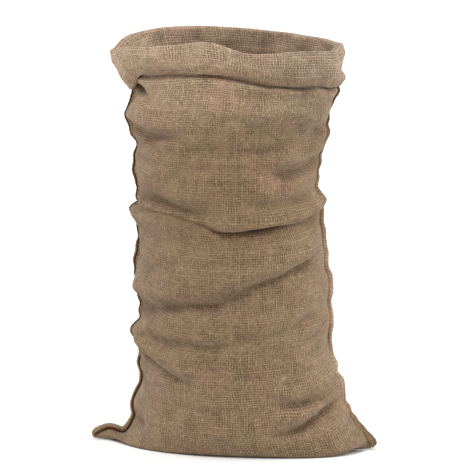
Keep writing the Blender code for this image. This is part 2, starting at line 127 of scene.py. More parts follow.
def plain_material(name, colour, rough, shine):
    """A material of one even colour."""
    made, tree = new_material(name)
    surface = add(tree, "BsdfPrincipled", {
        "Base Color": linear(colour), "Roughness": rough, "Specular IOR Level": shine})
    add(tree, "OutputMaterial", {"Surface": surface})
    return made


# Matt white background paper, which gives an even pale floor with a soft contact shadow.
paper = plain_material("matt_white_paper", PAPER, rough=0.9, shine=0.2)
corners = GROUND_HALF * np.array([(-1.0, -1.0, 0.0), (1.0, -1.0, 0.0), (1.0, 1.0, 0.0), (-1.0, 1.0, 0.0)])
paper_ground = mesh_object("paper_ground", corners, [(0, 1, 2, 3)], paper)

world = bpy.data.worlds.new("white_sky")
world.use_nodes = True
world.node_tree.nodes["Background"].inputs["Color"].default_value = linear(SKY)
world.node_tree.nodes["Background"].inputs["Strength"].default_value = SKY_STRENGTH
scene.world = world
scene.view_settings.view_transform = "Standard"

for name, place, strength, spread in LAMP_ROWS:
    sun = bpy.data.lights.new(name, "SUN")
    sun.energy = strength
    sun.angle = np.radians(spread)
    lamp = bpy.data.objects.new(name, sun)
    lamp.rotation_euler = Vector(place).to_track_quat("Z", "Y").to_euler()
    scene.collection.objects.link(lamp)

# Sack cloth
# One length of undyed jute hessian, folded at the bottom and sewn up both sides, so it has a front and
# a back panel that meet at the side seams. The mouth is turned outward in a cuff, its edge tucked under.
BODY_WIDTH = 0.400  # filled body, side seam to side seam
BODY_DEPTH = 0.326
MOUTH_HEIGHT = 0.850
BASE_LENGTH = 0.592  # along the bottom fold, ear tip to ear tip
FOOT_DEPTH = 0.244
EAR_RISE = 0.130  # floor to where the side seams leave the upright wall
SAG = 0.030
CUFF_DROP = 0.068
CUFF_STANDOFF = 0.014
CUFF_TUCK = 0.014
EDGE_RADIUS = 0.005
CLOTH = 0.002
CREASE_DEPTH = 0.014
CREASE_WIDTH = 0.026
BULGE_DEPTH = 0.010
FLAT_WIDTH = 0.60  # of the cloth as cut, between the seams
FLAT_LENGTH = 2.30  # of the cloth as cut, from mouth to mouth round the bottom fold

COLUMNS = 170  # of faces across one panel
WALL_FACES = 236  # of faces up one panel, from the bottom fold to the roll of the rim
FINE_STEP = 0.0012  # between the fine rows on which the folds are laid, before the cloth's rows are picked
ARC_STEPS = 480
ROLL_FACES, CUFF_FACES, EDGE_FACES, TUCK_FACES = 10, 24, 6, 4
ROW_PULL = 0.010  # how strongly the rows crowd where the cloth bends, in metres of bending radius
EVEN_ROWS = 15  # of the fine rows, over which that crowding is averaged

# The solid's sections: the base, from the bottom fold out to the heel, then the wall. Here the left ear is
# a little flatter, and the right ear leaves room for the blunt end of its seam.
BASE_NAMES = ("left_out", "left_up", "right_out", "right_up", "left_y", "right_y", "foot", "swell",
              "rise", "left_point", "right_point", "flat")
BASE_ROWS = (
    (1.00, 0.03, 0.98, 0.03, -0.04, -0.36, 0.00, 0.00, 0.00, 1.00, 1.00, 0.66),
    (0.84, 0.12, 0.91, 0.12, 0.00, -0.34, 0.45, 0.00, 0.00, 0.66, 0.56, 0.60),
    (0.66, 0.16, 0.81, 0.22, 0.02, -0.30, 0.78, 0.00, 0.00, 0.48, 0.38, 0.56),
    (0.37, 0.11, 0.68, 0.33, 0.03, -0.25, 0.98, 0.00, 0.01, 0.31, 0.28, 0.50),
    (0.21, 0.31, 0.48, 0.46, 0.04, -0.19, 1.00, 0.36, 0.08, 0.31, 0.28, 0.36),
    (0.13, 0.46, 0.30, 0.61, 0.04, -0.15, 1.00, 0.72, 0.30, 0.37, 0.35, 0.20),
    (0.05, 0.72, 0.12, 0.79, 0.05, -0.13, 1.00, 0.93, 0.62, 0.43, 0.42, 0.08),
)
WALL_NAMES = ("up", "left", "right", "left_y", "right_y", "front", "back", "sag", "left_point",
              "right_point")
WALL_ROWS = (
    (0.000, 0.950, 1.090, 0.05, -0.11, 1.02, 1.00, 1.00, 0.46, 0.44),
    (0.035, 0.928, 1.045, 0.05, -0.10, 1.03, 1.02, 1.00, 0.48, 0.46),
    (0.083, 0.943, 1.010, 0.05, -0.10, 1.03, 1.03, 1.00, 0.48, 0.46),
    (0.144, 0.978, 0.998, 0.06, -0.10, 1.03, 1.03, 1.00, 0.48, 0.48),
    (0.192, 0.948, 0.998, 0.05, -0.10, 1.02, 1.02, 1.00, 0.48, 0.48),
    (0.244, 0.948, 0.985, 0.05, -0.10, 1.00, 1.00, 1.00, 0.48, 0.48),
    (0.299, 0.993, 0.980, 0.05, -0.10, 0.98, 0.99, 1.00, 0.49, 0.48),
    (0.351, 0.978, 0.960, 0.05, -0.10, 0.99, 0.98, 1.00, 0.49, 0.48),
    (0.410, 0.963, 0.940, 0.05, -0.10, 1.00, 0.99, 1.00, 0.48, 0.48),
    (0.458, 0.963, 0.938, 0.05, -0.10, 0.98, 1.00, 1.00, 0.48, 0.48),
    (0.500, 0.993, 0.890, 0.05, -0.11, 0.97, 1.00, 1.00, 0.49, 0.50),
    (0.546, 0.973, 0.905, 0.05, -0.11, 0.99, 0.98, 0.90, 0.48, 0.50),
    (0.570, 0.968, 0.862, 0.05, -0.10, 0.98, 0.97, 0.82, 0.48, 0.50),
    (0.625, 0.978, 0.890, 0.05, -0.10, 0.97, 0.97, 0.65, 0.48, 0.50),
    (0.690, 0.988, 0.905, 0.05, -0.10, 0.96, 0.96, 0.48, 0.48, 0.50),
    (0.755, 1.028, 0.945, 0.04, -0.08, 0.95, 0.95, 0.32, 0.50, 0.50),
    (0.800, 1.038, 0.995, 0.03, -0.06, 0.94, 0.94, 0.22, 0.52, 0.50),
    (0.838, 1.010, 1.020, 0.02, -0.05, 0.91, 0.92, 0.14, 0.54, 0.50),
    (0.882, 1.005, 1.015, 0.01, -0.04, 0.89, 0.90, 0.06, 0.58, 0.50),
    (0.935, 1.080, 1.025, 0.00, -0.03, 0.90, 0.90, 0.00, 0.64, 0.52),
    (1.000, 1.195, 1.065, 0.00, -0.02, 0.92, 0.91, 0.00, 0.70, 0.54),
)
# The mouth, going round it: 0 is the left corner, 1 the right corner and 2 the left corner again, with
# the front between 0 and 1. The shares are of MOUTH_HEIGHT, CUFF_DROP and CUFF_STANDOFF, and foot is
# the standoff's share that is left at the cuff's lower edge.
MOUTH_NAMES = ("around", "rim", "drop", "standoff", "foot")
MOUTH_ROWS = (
    (0.00, 0.972, 1.40, 1.40, 0.80),
    (0.03, 0.973, 1.39, 1.30, 0.90),
    (0.06, 0.976, 1.31, 1.25, 0.95),
    (0.10, 0.980, 1.06, 1.24, 0.76),
    (0.22, 0.983, 0.78, 1.46, 0.30),
    (0.34, 0.990, 0.84, 1.38, 0.34),
    (0.46, 0.997, 0.96, 1.14, 0.74),
    (0.58, 0.972, 0.77, 1.05, 0.78),
    (0.66, 0.970, 1.00, 1.05, 0.75),
    (0.74, 0.974, 1.14, 1.10, 0.65),
    (0.87, 0.973, 1.15, 1.12, 0.65),
    (0.94, 0.974, 1.27, 1.15, 0.85),
    (1.00, 0.988, 1.36, 1.30, 1.12),
    (1.06, 0.989, 1.26, 1.20, 1.05),
    (1.13, 0.994, 1.06, 1.10, 0.95),
    (1.30, 1.006, 1.00, 0.95, 0.95),
    (1.50, 1.018, 1.04, 1.00, 0.95),
    (1.70, 1.022, 0.96, 1.00, 0.95),
    (1.87, 1.009, 1.04, 1.10, 0.95),
    (1.95, 0.992, 1.28, 1.24, 0.80),
    (2.00, 0.972, 1.40, 1.40, 0.80),
)
# The cuff's swell on its way down, in shares of its drop and of its standoff, and how far it has turned in
# to the foot's share by there.
CUFF_NAMES = ("down", "out", "turned")
CUFF_ROWS = (
    (0.00, 1.00, 0.00),
    (0.10, 1.14, 0.00),
    (0.25, 1.26, 0.10),
    (0.50, 1.36, 0.25),
    (0.72, 1.34, 0.50),
    (0.88, 1.18, 0.85),
    (1.00, 0.88, 1.00),
)
RIM_FADE = 0.3  # share of the wall's height, from the top down, over which the rim's own height fades in

# Creases, each a line from start to end round the sack, 0 to 1 on the front and 1 to 2 on the back, then
# its heights at start, halfway and end, in shares of MOUTH_HEIGHT. Then, in shares of CREASE_DEPTH, how far
# it dips in along the line and how far a lip swells beside it, above it at 1 and below it at -1. Then its
# spread, in shares of CREASE_WIDTH, how much deeper the line's own sharp bottom is, and the shares of its
# length over which its two ends run out.
CREASE_ROWS = (
    # Front: the main crease, in three lengths, then the others of the solid.
    (-0.04, 0.52, 0.594, 0.582, 0.552, 0.45, 0.55, -1, 0.80, 0.50, 0.10, 0.16),
    (0.40, 0.79, 0.557, 0.552, 0.566, 0.60, 0.60, 1, 0.62, 0.75, 0.36, 0.30),
    (0.57, 1.02, 0.554, 0.566, 0.598, 0.45, 0.40, 1, 0.60, 0.60, 0.20, 0.12),
    (0.46, 0.94, 0.386, 0.441, 0.488, 0.75, 0.50, 1, 1.05, 0.30, 0.30, 0.22),
    (0.00, 0.62, 0.354, 0.364, 0.394, 1.20, 0.65, 1, 1.55, 0.20, 0.16, 0.26),
    (0.02, 0.50, 0.624, 0.614, 0.580, 1.30, 0.50, 1, 1.35, 0.05, 0.22, 0.26),
    (0.00, 0.64, 0.282, 0.276, 0.276, 0.75, 0.40, 1, 1.10, 0.05, 0.10, 0.35),
    (0.08, 0.95, 0.742, 0.744, 0.740, 0.45, 0.25, 1, 1.00, 0.05, 0.25, 0.25),
    (-0.02, 0.42, 0.800, 0.777, 0.762, 0.85, 0.50, 1, 1.10, 0.05, 0.15, 0.32),
    (0.56, 0.94, 0.618, 0.614, 0.620, 0.50, 0.25, 1, 1.00, 0.00, 0.35, 0.35),
    (0.62, 1.00, 0.686, 0.698, 0.714, 1.35, 0.55, 1, 1.30, 0.05, 0.34, 0.16),
    (0.72, 1.00, 0.822, 0.795, 0.765, 0.45, 0.20, 1, 0.90, 0.10, 0.30, 0.20),
    (0.46, 0.95, 0.290, 0.310, 0.362, 0.45, 0.28, 1, 1.00, 0.15, 0.30, 0.22),
    (0.02, 0.44, 0.268, 0.206, 0.176, 0.80, 0.50, 1, 1.15, 0.15, 0.10, 0.40),
    (0.62, 1.00, 0.056, 0.090, 0.130, 1.50, 0.75, 1, 1.20, 0.08, 0.34, 0.28),
    (0.62, 1.00, 0.122, 0.140, 0.162, 1.30, 0.70, 1, 1.15, 0.10, 0.34, 0.32),
    # Front: the groove that the cuff's edge lies over, with the body swelling out under it.
    (0.04, 0.66, 0.929, 0.926, 0.922, 0.42, 0.50, -1, 0.62, 0.30, 0.10, 0.20),
    (0.52, 1.02, 0.924, 0.908, 0.896, 0.25, 0.50, -1, 0.64, 0.30, 0.20, 0.15),
    # Front: the fold that runs down from the seam into the pocket under the cuff's left end.
    (-0.06, 0.20, 0.910, 0.892, 0.866, 1.10, 0.35, -1, 0.62, 0.35, 0.40, 0.60),
    # Front: lesser folds between them.
    (0.72, 0.97, 0.270, 0.292, 0.330, 0.28, 0.18, 1, 0.60, 0.10, 0.30, 0.20),
    (0.78, 1.00, 0.118, 0.128, 0.150, 0.24, 0.20, 1, 0.70, 0.05, 0.30, 0.15),
    (0.00, 0.22, 0.172, 0.160, 0.140, 0.28, 0.18, 1, 0.70, 0.10, 0.20, 0.40),
    (0.00, 0.30, 0.470, 0.462, 0.440, 0.25, 0.18, 1, 0.80, 0.05, 0.20, 0.40),
    (0.66, 1.00, 0.505, 0.512, 0.536, 0.26, 0.15, 1, 0.70, 0.10, 0.35, 0.20),
    (0.10, 0.48, 0.700, 0.716, 0.704, 0.22, 0.18, 1, 1.00, 0.00, 0.30, 0.30),
    (0.50, 0.88, 0.760, 0.752, 0.764, 0.20, 0.15, 1, 0.90, 0.00, 0.35, 0.30),
    (0.24, 0.70, 0.236, 0.214, 0.226, 0.22, 0.16, 1, 1.10, 0.00, 0.35, 0.35),
    (0.22, 0.66, 0.130, 0.108, 0.118, 0.20, 0.16, 1, 1.10, 0.00, 0.35, 0.35),
    # Back: its main creases lie lower on the left and higher on the right than the front's.
    (1.02, 1.55, 0.590, 0.556, 0.520, 0.80, 0.55, 1, 1.10, 0.60, 0.15, 0.22),
    (1.35, 1.95, 0.420, 0.380, 0.440, 0.65, 0.40, 1, 1.10, 0.30, 0.22, 0.22),
    (1.05, 1.45, 0.270, 0.250, 0.300, 0.50, 0.30, 1, 1.10, 0.10, 0.15, 0.30),
    (1.50, 1.96, 0.660, 0.690, 0.780, 0.50, 0.30, 1, 1.00, 0.30, 0.30, 0.15),
    (1.10, 1.60, 0.780, 0.765, 0.740, 0.40, 0.20, 1, 1.00, 0.10, 0.22, 0.30),
    (1.00, 1.34, 0.690, 0.680, 0.650, 0.35, 0.22, 1, 0.80, 0.20, 0.15, 0.35),
    (1.00, 1.30, 0.440, 0.428, 0.400, 0.35, 0.25, 1, 0.80, 0.20, 0.15, 0.35),
    (1.62, 2.00, 0.550, 0.560, 0.600, 0.40, 0.30, 1, 0.90, 0.25, 0.30, 0.15),
    (1.66, 2.00, 0.300, 0.286, 0.262, 0.40, 0.28, 1, 0.80, 0.20, 0.30, 0.15),
    (1.55, 1.96, 0.130, 0.118, 0.150, 0.40, 0.30, 1, 0.90, 0.10, 0.30, 0.20),
    (1.04, 1.36, 0.090, 0.104, 0.092, 0.45, 0.30, 1, 0.80, 0.30, 0.20, 0.35),
    (1.76, 2.00, 0.850, 0.838, 0.826, 0.40, 0.25, 1, 0.70, 0.10, 0.30, 0.15),
)
# The bells of a crease, in widths of it: the dip, the lip and how far beside the line it lies, and a sharp
# bottom. The lip droops by a share of its own swell.
DIP_CORE = 0.45
LIP_ABOVE = 0.85
LIP_CORE = 0.6
LIP_DROOP = 0.45
SHARP_CORE = 0.15
WOBBLE = 0.0022  # how far a crease strays up and down along its line
WOBBLE_LENGTH = 0.31  # of one stray, in panel widths
WOBBLE_SHIFT = 9  # strays by which a crease at the rim would be shifted along from one at the floor

# Bulges and hollows: where round the sack, height in shares of MOUTH_HEIGHT, swell in shares of
# BULGE_DEPTH, and how wide and tall.
BULGE_ROWS = (
    (0.36, 0.864, 1.35, 0.22, 0.028),
    (0.62, 0.847, 1.90, 0.14, 0.024),
    (0.78, 0.824, 0.40, 0.16, 0.036),
    (0.14, 0.842, 0.80, 0.08, 0.028),
    (0.18, 0.772, -1.20, 0.12, 0.022),
    (0.86, 0.782, -1.00, 0.09, 0.020),
    (0.53, 0.400, -0.80, 0.09, 0.022),
    (0.05, 0.062, -0.80, 0.06, 0.030),
    (0.13, 0.868, -0.70, 0.10, 0.018),
    (0.12, 0.275, 1.20, 0.07, 0.028),
    (0.08, 0.575, 0.50, 0.10, 0.040),
    (0.91, 0.602, 0.70, 0.07, 0.022),
    (0.90, 0.800, 0.60, 0.12, 0.045),
    (0.28, 0.720, 0.45, 0.16, 0.050),
    (0.62, 0.650, 0.50, 0.18, 0.050),
    (0.33, 0.470, 0.45, 0.20, 0.055),
    (0.72, 0.500, 0.35, 0.14, 0.035),
    (0.50, 0.330, 0.40, 0.22, 0.045),
    (0.40, 0.180, 0.45, 0.20, 0.060),
    (0.82, 0.200, 0.40, 0.16, 0.060),
    (1.22, 0.650, 0.60, 0.18, 0.050),
    (1.60, 0.470, 0.55, 0.20, 0.055),
    (1.30, 0.340, 0.50, 0.18, 0.050),
    (1.72, 0.230, 0.60, 0.18, 0.060),
    (1.55, 0.780, 0.40, 0.20, 0.040),
    (1.92, 0.700, 0.50, 0.10, 0.040),
    # Smaller ones: the pocket under the cuff's left end, the points at the seams, and the rolls that
    # hide the left seam.
    (0.055, 0.889, -1.50, 0.048, 0.014),
    (0.00, 0.812, 1.15, 0.050, 0.036),
    (0.00, 0.664, 0.60, 0.050, 0.022),
    (0.00, 0.460, 0.45, 0.050, 0.030),
    (1.00, 0.765, 0.55, 0.050, 0.030),
    (1.00, 0.165, 1.20, 0.060, 0.045),
    (1.00, 0.370, 0.45, 0.060, 0.120),
    (0.045, 0.775, 0.45, 0.040, 0.018),
    (0.00, 0.745, -0.60, 0.050, 0.016),
    (0.045, 0.588, 0.25, 0.045, 0.020),
    (0.04, 0.395, 0.50, 0.045, 0.014),
    (0.02, 0.278, 1.70, 0.070, 0.019),
    (0.01, 0.245, -0.60, 0.050, 0.009),
    (0.00, 0.086, 1.30, 0.080, 0.028),
    (0.00, 0.122, 0.55, 0.080, 0.022),
    (0.00, 0.196, 0.75, 0.080, 0.020),
    (0.10, 0.052, -1.80, 0.055, 0.020),
    (0.98, 0.618, 0.35, 0.035, 0.015),
    (1.00, 0.880, 0.80, 0.060, 0.028),
)


def table(names, rows):
    """The rows as one array for each named column."""
    return dict(zip(names, np.array(rows, float).T))


def smooth(at, places, values):
    """A curve through the values at the places: cubic pieces whose slope at each is its neighbours' mean."""
    places = np.asarray(places, float)
    values = np.asarray(values, float)
    slopes = np.gradient(values, places)
    at = np.clip(at, places[0], places[-1])
    first = np.clip(np.searchsorted(places, at, side="right") - 1, 0, len(places) - 2)
    width = places[first + 1] - places[first]
    part = (at - places[first]) / width
    rest = 1.0 - part
    return (values[first] * rest ** 2 * (1 + 2 * part) + values[first + 1] * part ** 2 * (1 + 2 * rest)
            + slopes[first] * width * part * rest ** 2 - slopes[first + 1] * width * part ** 2 * rest)


def ease(share):
    """0 to 1 with a level start and end: three times the square less twice the cube."""
    share = np.clip(share, 0.0, 1.0)
    return share * share * (3.0 - 2.0 * share)


def unit(vectors):
    """The vectors, each one long."""
    return vectors / np.maximum(np.linalg.norm(vectors, axis=-1, keepdims=True), 1e-9)


def summed(steps):
    """The running total down the steps, from 0."""
    return np.concatenate([np.zeros_like(steps[:1]), np.cumsum(steps, axis=0)])


def sections():
    """Every measure of the base and wall sections in metres: a table's shares times the size they follow."""
    base, wall = table(BASE_NAMES, BASE_ROWS), table(WALL_NAMES, WALL_ROWS)
    half_width, half_depth, half_foot, floor = BODY_WIDTH / 2, BODY_DEPTH / 2, FOOT_DEPTH / 2, CLOTH / 2
    wall_z = EAR_RISE + wall["up"] * (MOUTH_HEIGHT - EAR_RISE)
    result = {}
    for side in ("left", "right"):
        upright = half_width * wall[side][0]
        base_x = upright + base[side + "_out"] * (BASE_LENGTH / 2 - upright)
        result[side] = np.concatenate([base_x, half_width * wall[side]])
        result[side + "_z"] = np.concatenate([floor + base[side + "_up"] * (EAR_RISE - floor), wall_z])
        result[side + "_y"] = half_depth * np.concatenate([base[side + "_y"], wall[side + "_y"]])
        result[side + "_point"] = np.concatenate([base[side + "_point"], wall[side + "_point"]])
    for face in ("front", "back"):
        base_y = half_foot * base["foot"] + (half_depth * wall[face][0] - half_foot) * base["swell"]
        result[face] = np.concatenate([base_y, half_depth * wall[face]])
    base_z = floor + base["rise"] * (EAR_RISE - SAG - floor)
    result["middle_z"] = np.concatenate([base_z, wall_z - SAG * wall["sag"]])
    result["flat"] = np.concatenate([base["flat"], np.zeros(len(wall["up"]))])
    return result


def run_marks(rings):
    """How far up the cloth each section lies: the mean run between sections at front, back and seams."""
    runs = [np.hypot(np.diff(rings[out]), np.diff(rings[up])) for out, up in
            (("front", "middle_z"), ("back", "middle_z"), ("left", "left_z"), ("right", "right_z"))]
    return summed(np.mean(runs, axis=0))


def panel_rows(ring, face):
    """One panel's rows: x follows the cosine of an angle from seam to seam, the swell its sine's power."""
    angle = np.linspace(0.0, np.pi, ARC_STEPS + 1)[None, :]
    on_left = np.cos(angle) > 0
    left, right = ring["left"][:, None], ring["right"][:, None]
    x = -np.cos(angle) * np.where(on_left, left, right)
    point = np.where(on_left, ring["left_point"][:, None], ring["right_point"][:, None])
    across = (x + left) / (left + right)
    chord = ring["left_y"][:, None] + across * (ring["right_y"] - ring["left_y"])[:, None]
    outward = -1.0 if face == "front" else 1.0
    y = chord + outward * ring[face][:, None] * np.sin(angle) ** (2 * point)
    run = summed(np.hypot(np.diff(x), np.diff(y)).T).T
    share = np.linspace(0.0, 1.0, COLUMNS + 1)
    picked = [[np.interp(share * run[row, -1], run[row], values[row]) for values in (x, y)]
              for row in range(len(x))]
    away = np.abs(2 * share - 1)[None, :]
    flat = ring["flat"][:, None]
    lift = np.clip((away - flat) / (1 - flat), 0, 1) ** 2
    seam_z = np.where(share[None, :] < 0.5, ring["left_z"][:, None], ring["right_z"][:, None])
    z = ring["middle_z"][:, None] + (seam_z - ring["middle_z"][:, None]) * lift
    return np.concatenate([np.array(picked).transpose(0, 2, 1), z[:, :, None]], axis=2)


def plain_rows(steps, rings, marks):
    """Rows right round the sack at these runs up the cloth: the front panel left to right, then the back."""
    ring = {name: smooth(steps, marks, values) for name, values in rings.items()}
    front, back = panel_rows(ring, "front"), panel_rows(ring, "back")
    return np.concatenate([front[:, :-1], back[:, :0:-1]], axis=1)


def outward_level(rows):
    """The level direction out of the sack: square to the line between a point's neighbours in its row."""
    along = np.roll(rows, -1, axis=1) - np.roll(rows, 1, axis=1)
    return unit(np.stack([along[..., 1], -along[..., 0], np.zeros(along.shape[:2])], axis=-1))


around = np.arange(2 * COLUMNS) / COLUMNS  # 0 to 1 along the front, 1 to 2 along the back


def creased(rows):
    """The rows with each crease pressed in along its line as a bell, and a drooping lip raised beside it."""
    push = np.zeros(rows.shape[:2])
    droop = np.zeros(rows.shape[:2])
    for start, end, low, middle, high, dip, lip, side, spread, sharp, fade_in, fade_out in CREASE_ROWS:
        place = np.where(around > 1 + (start + end) / 2, around - 2, around)[None, :]
        share = (place - start) / (end - start)
        fade = CREASE_DEPTH * ease(share / fade_in) * ease((1 - share) / fade_out)
        height = MOUTH_HEIGHT * (low * (1 - share) * (1 - 2 * share) + 4 * middle * share * (1 - share)
                                 + high * share * (2 * share - 1))
        height = height + WOBBLE * np.sin(2 * np.pi * (place / WOBBLE_LENGTH + WOBBLE_SHIFT * low))
        away = (rows[..., 2] - height) / (CREASE_WIDTH * spread)
        bell = np.exp(-(away / DIP_CORE) ** 2) + sharp * np.exp(-(away / SHARP_CORE) ** 2)
        swell = lip * np.exp(-((away - side * LIP_ABOVE) / LIP_CORE) ** 2)
        push += fade * (swell - dip * bell)
        droop += fade * swell * LIP_DROOP * side
    result = rows + push[..., None] * outward_level(rows)
    result[..., 2] -= droop
    return result


def bulged(rows):
    """The rows with each bulge or hollow pushed out or in as a round bell."""
    push = np.zeros(rows.shape[:2])
    for place, height, swell, wide, tall in BULGE_ROWS:
        aside = (around[None, :] - place + 1) % 2 - 1
        above = rows[..., 2] / MOUTH_HEIGHT - height
        push += swell * np.exp(-(aside / wide) ** 2 - (above / tall) ** 2)
    return rows + BULGE_DEPTH * push[..., None] * outward_level(rows)


def waves(place, up, turns, tall, count, seed):
    """Soft irregular waves: a sum of cosines with whole numbers of turns round the sack, seeded phases."""
    draw = np.random.default_rng(seed)
    total = np.zeros(np.broadcast(place, up).shape)
    for _ in range(count):
        across = draw.integers(turns[0], turns[1] + 1) * draw.choice([-1, 1])
        turn = np.pi * across * place + 2 * np.pi * up / draw.uniform(*tall)
        total += np.cos(turn + draw.uniform(0, 2 * np.pi))
    return total * np.sqrt(2 / count)


# Kinds of waves in the cloth: the fewest and most turns round the sack, the least and greatest height of one
# wave in metres, how many are summed, and the seed of their draws.
LUMPS = ((5, 14), (0.07, 0.16), 24, 11)  # soft ones that the filling presses into the cloth
WRINKLES = ((1, 9), (0.022, 0.045), 24, 12)  # small level ones
PUCKERS = ((0, 3), (0.035, 0.08), 12, 13)  # those that the sewing draws in beside each side seam
CUFF_WAVES = ((5, 20), (0.05, 0.20), 16, 14)  # the cuff's own unevenness
LUMP_DEPTH, WRINKLE_DEPTH, PUCKER_DEPTH, CUFF_WAVE_DEPTH = 0.0017, 0.0006, 0.0010, 0.0012
PUCKER_REACH = 0.08  # how far the puckers reach from a seam, in panel widths
PUCKER_POWER = 1.5  # the higher, the more suddenly they end there
FLAT_BELOW, FLAT_OVER = 0.01, 0.06  # the waves begin at the one height and are full the other above it


def rumpled(rows, steps):
    """The rows with soft lumps, small wrinkles, and puckers that grow towards the side seams."""
    place, up = around[None, :], np.asarray(steps)[:, None]
    seam_near = np.exp(-(np.abs((place + 0.5) % 1 - 0.5) / PUCKER_REACH) ** PUCKER_POWER)
    push = (LUMP_DEPTH * waves(place, up, *LUMPS) + WRINKLE_DEPTH * waves(place, up, *WRINKLES)
            + PUCKER_DEPTH * seam_near * waves(place, up, *PUCKERS))
    clear = ease((rows[..., 2] - FLAT_BELOW) / FLAT_OVER)
    return rows + (push * clear)[..., None] * outward_level(rows)


def at_mouth(measure, place):
    """One measure of the mouth at places round it."""
    mouth = table(MOUTH_NAMES, MOUTH_ROWS)
    return smooth(place, mouth["around"], mouth[measure])


def wall_rows(steps, rings, marks, folded=True):
    """The cloth at these runs up from the bottom fold, with or without folds, the rim's height faded in."""
    rows = rumpled(plain_rows(steps, rings, marks), steps)
    if folded:
        rows = creased(bulged(rows))
    rim = MOUTH_HEIGHT * (at_mouth("rim", around) - 1)
    below_rim = (marks[-1] - np.asarray(steps)) / (MOUTH_HEIGHT - EAR_RISE)
    rows[..., 2] += rim[None, :] * ease(1 - below_rim / RIM_FADE)[:, None]
    return rows


def pick(rows, number):
    """The point of each column at a fractional row number of its own, between the two rows beside it."""
    number = np.clip(number, 0, len(rows) - 1.001)  # just short of the last row, so that one lies above it
    first = np.floor(number).astype(int)
    part = (number - first)[..., None]
    column = np.arange(rows.shape[1])
    return rows[first, column] * (1 - part) + rows[first + 1, column] * part


def mouth_rows(rings, marks):
    """The roll over the rim, the cuff outside the wall, its round lower edge, and the hem turned under."""
    drop = CUFF_DROP * at_mouth("drop", around)
    standoff = CUFF_STANDOFF * at_mouth("standoff", around)
    foot = at_mouth("foot", around)
    count = int(np.ceil(drop.max() / FINE_STEP)) + 2
    near = wall_rows(marks[-1] - FINE_STEP * np.arange(count), rings, marks, folded=False)
    out = outward_level(near)
    cuff = table(CUFF_NAMES, CUFF_ROWS)
    path = []
    for angle in np.linspace(0.0, np.pi, ROLL_FACES + 1):
        path.append((standoff / 2 * (1 - np.sin(angle)), standoff / 2 * (1 - np.cos(angle))))
    for share in np.linspace(0.0, 1.0, CUFF_FACES + 2)[1:-1]:
        down = standoff / 2 + share * (drop - EDGE_RADIUS - standoff / 2)
        uneven = CUFF_WAVE_DEPTH * waves(around, share * CUFF_DROP, *CUFF_WAVES)
        turned = 1 + np.interp(share, cuff["down"], cuff["turned"]) * (foot - 1)
        hangs = np.interp(share, cuff["down"], cuff["out"]) * turned
        path.append((down, standoff * hangs + uneven * np.sin(np.pi * share)))
    edge = standoff * cuff["out"][-1] * foot
    radius = np.minimum(EDGE_RADIUS, edge / 3)
    for angle in np.linspace(0.0, np.pi, EDGE_FACES + 1):
        path.append((drop - EDGE_RADIUS * (1 - np.sin(angle)), edge - radius * (1 - np.cos(angle))))
    for share in np.linspace(0.0, 1.0, TUCK_FACES + 1)[1:]:
        path.append((drop - EDGE_RADIUS - share * CUFF_TUCK, edge - 2 * radius))
    down, away = (np.array(values) for values in zip(*path))
    return pick(near, down / FINE_STEP) + away[..., None] * pick(out, down / FINE_STEP)


def averaged(values, width):
    """The values averaged over that many rows, their ends held."""
    before, after = (np.repeat(end, width // 2, axis=0) for end in (values[:1], values[-1:]))
    total = summed(np.concatenate([before, values, after]))
    return (total[width:] - total[:-width])[:len(values)] / width


def crowded(rows, count):
    """Row numbers for count faces up each column, closer where it bends: even in length times bending."""
    step = np.diff(rows, axis=0)
    length = np.linalg.norm(step, axis=-1)
    bend = np.zeros(length.shape)
    bend[1:] = np.linalg.norm(np.diff(step / length[..., None], axis=0), axis=-1) / length[1:]
    density = averaged(averaged(length * (1 + ROW_PULL * bend), EVEN_ROWS), EVEN_ROWS)
    reach = summed(density)
    wanted = np.linspace(0.0, 1.0, count + 1)
    numbers = [np.interp(wanted * column[-1], column, np.arange(len(rows))) for column in reach.T]
    return np.stack(numbers, axis=1)


def mean_run(rows):
    """How far up the cloth each row lies: the mean over its columns of the run along them."""
    return summed(np.linalg.norm(np.diff(rows, axis=0), axis=-1).mean(axis=1))


rings = sections()
marks = run_marks(rings)
roll = CUFF_STANDOFF * table(MOUTH_NAMES, MOUTH_ROWS)["standoff"].max()
wall_steps = np.arange(0.0, marks[-1] - roll, FINE_STEP)
wall = wall_rows(wall_steps, rings, marks)
mouth_part = mouth_rows(rings, marks)

# The middle of the cloth goes where the solid's is.
solid_low, solid_high = (np.array(corner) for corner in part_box("sack_cloth"))
cloth_low = np.minimum(wall.min(axis=(0, 1)), mouth_part.min(axis=(0, 1)))
cloth_high = np.maximum(wall.max(axis=(0, 1)), mouth_part.max(axis=(0, 1)))
to_solid = (solid_low + solid_high - cloth_low - cloth_high) / 2 * np.array([1.0, 1.0, 0.0])
wall += to_solid
number = crowded(wall, WALL_FACES)
sack_rows = np.concatenate([pick(wall, number), mouth_part + to_solid])

# Where each point lies on the flat cloth, in metres: across by its share of the panel, up by its run.
wall_run = mean_run(wall)
mouth_run = wall_run[-1] + mean_run(np.concatenate([wall[-1:], mouth_part + to_solid]))[1:]
up_cloth = np.concatenate([np.interp(number, np.arange(len(wall)), wall_run),
                           np.repeat(mouth_run[:, None], 2 * COLUMNS, axis=1)])
up_cloth *= FLAT_LENGTH / 2 / mouth_run[-1]

# Plain-woven hessian of undyed jute: flat dull yarns of uneven thickness with slubs, and open gaps that
# look dark. The gaps' dark is painted shade, and each yarn fades into it towards its edges and where it
# passes under another, as painted shade too. Real yarns lie 2.3 mm apart, under one pixel, so they are
# drawn over 5 mm apart to show.
WARP_PITCH = 0.0054  # between the yarns that run up the sack
WEFT_PITCH = 0.0050  # between the yarns that run across it
YARN_HALF = 0.30  # half a yarn's width, in pitches
SLUB_LENGTH = 0.014
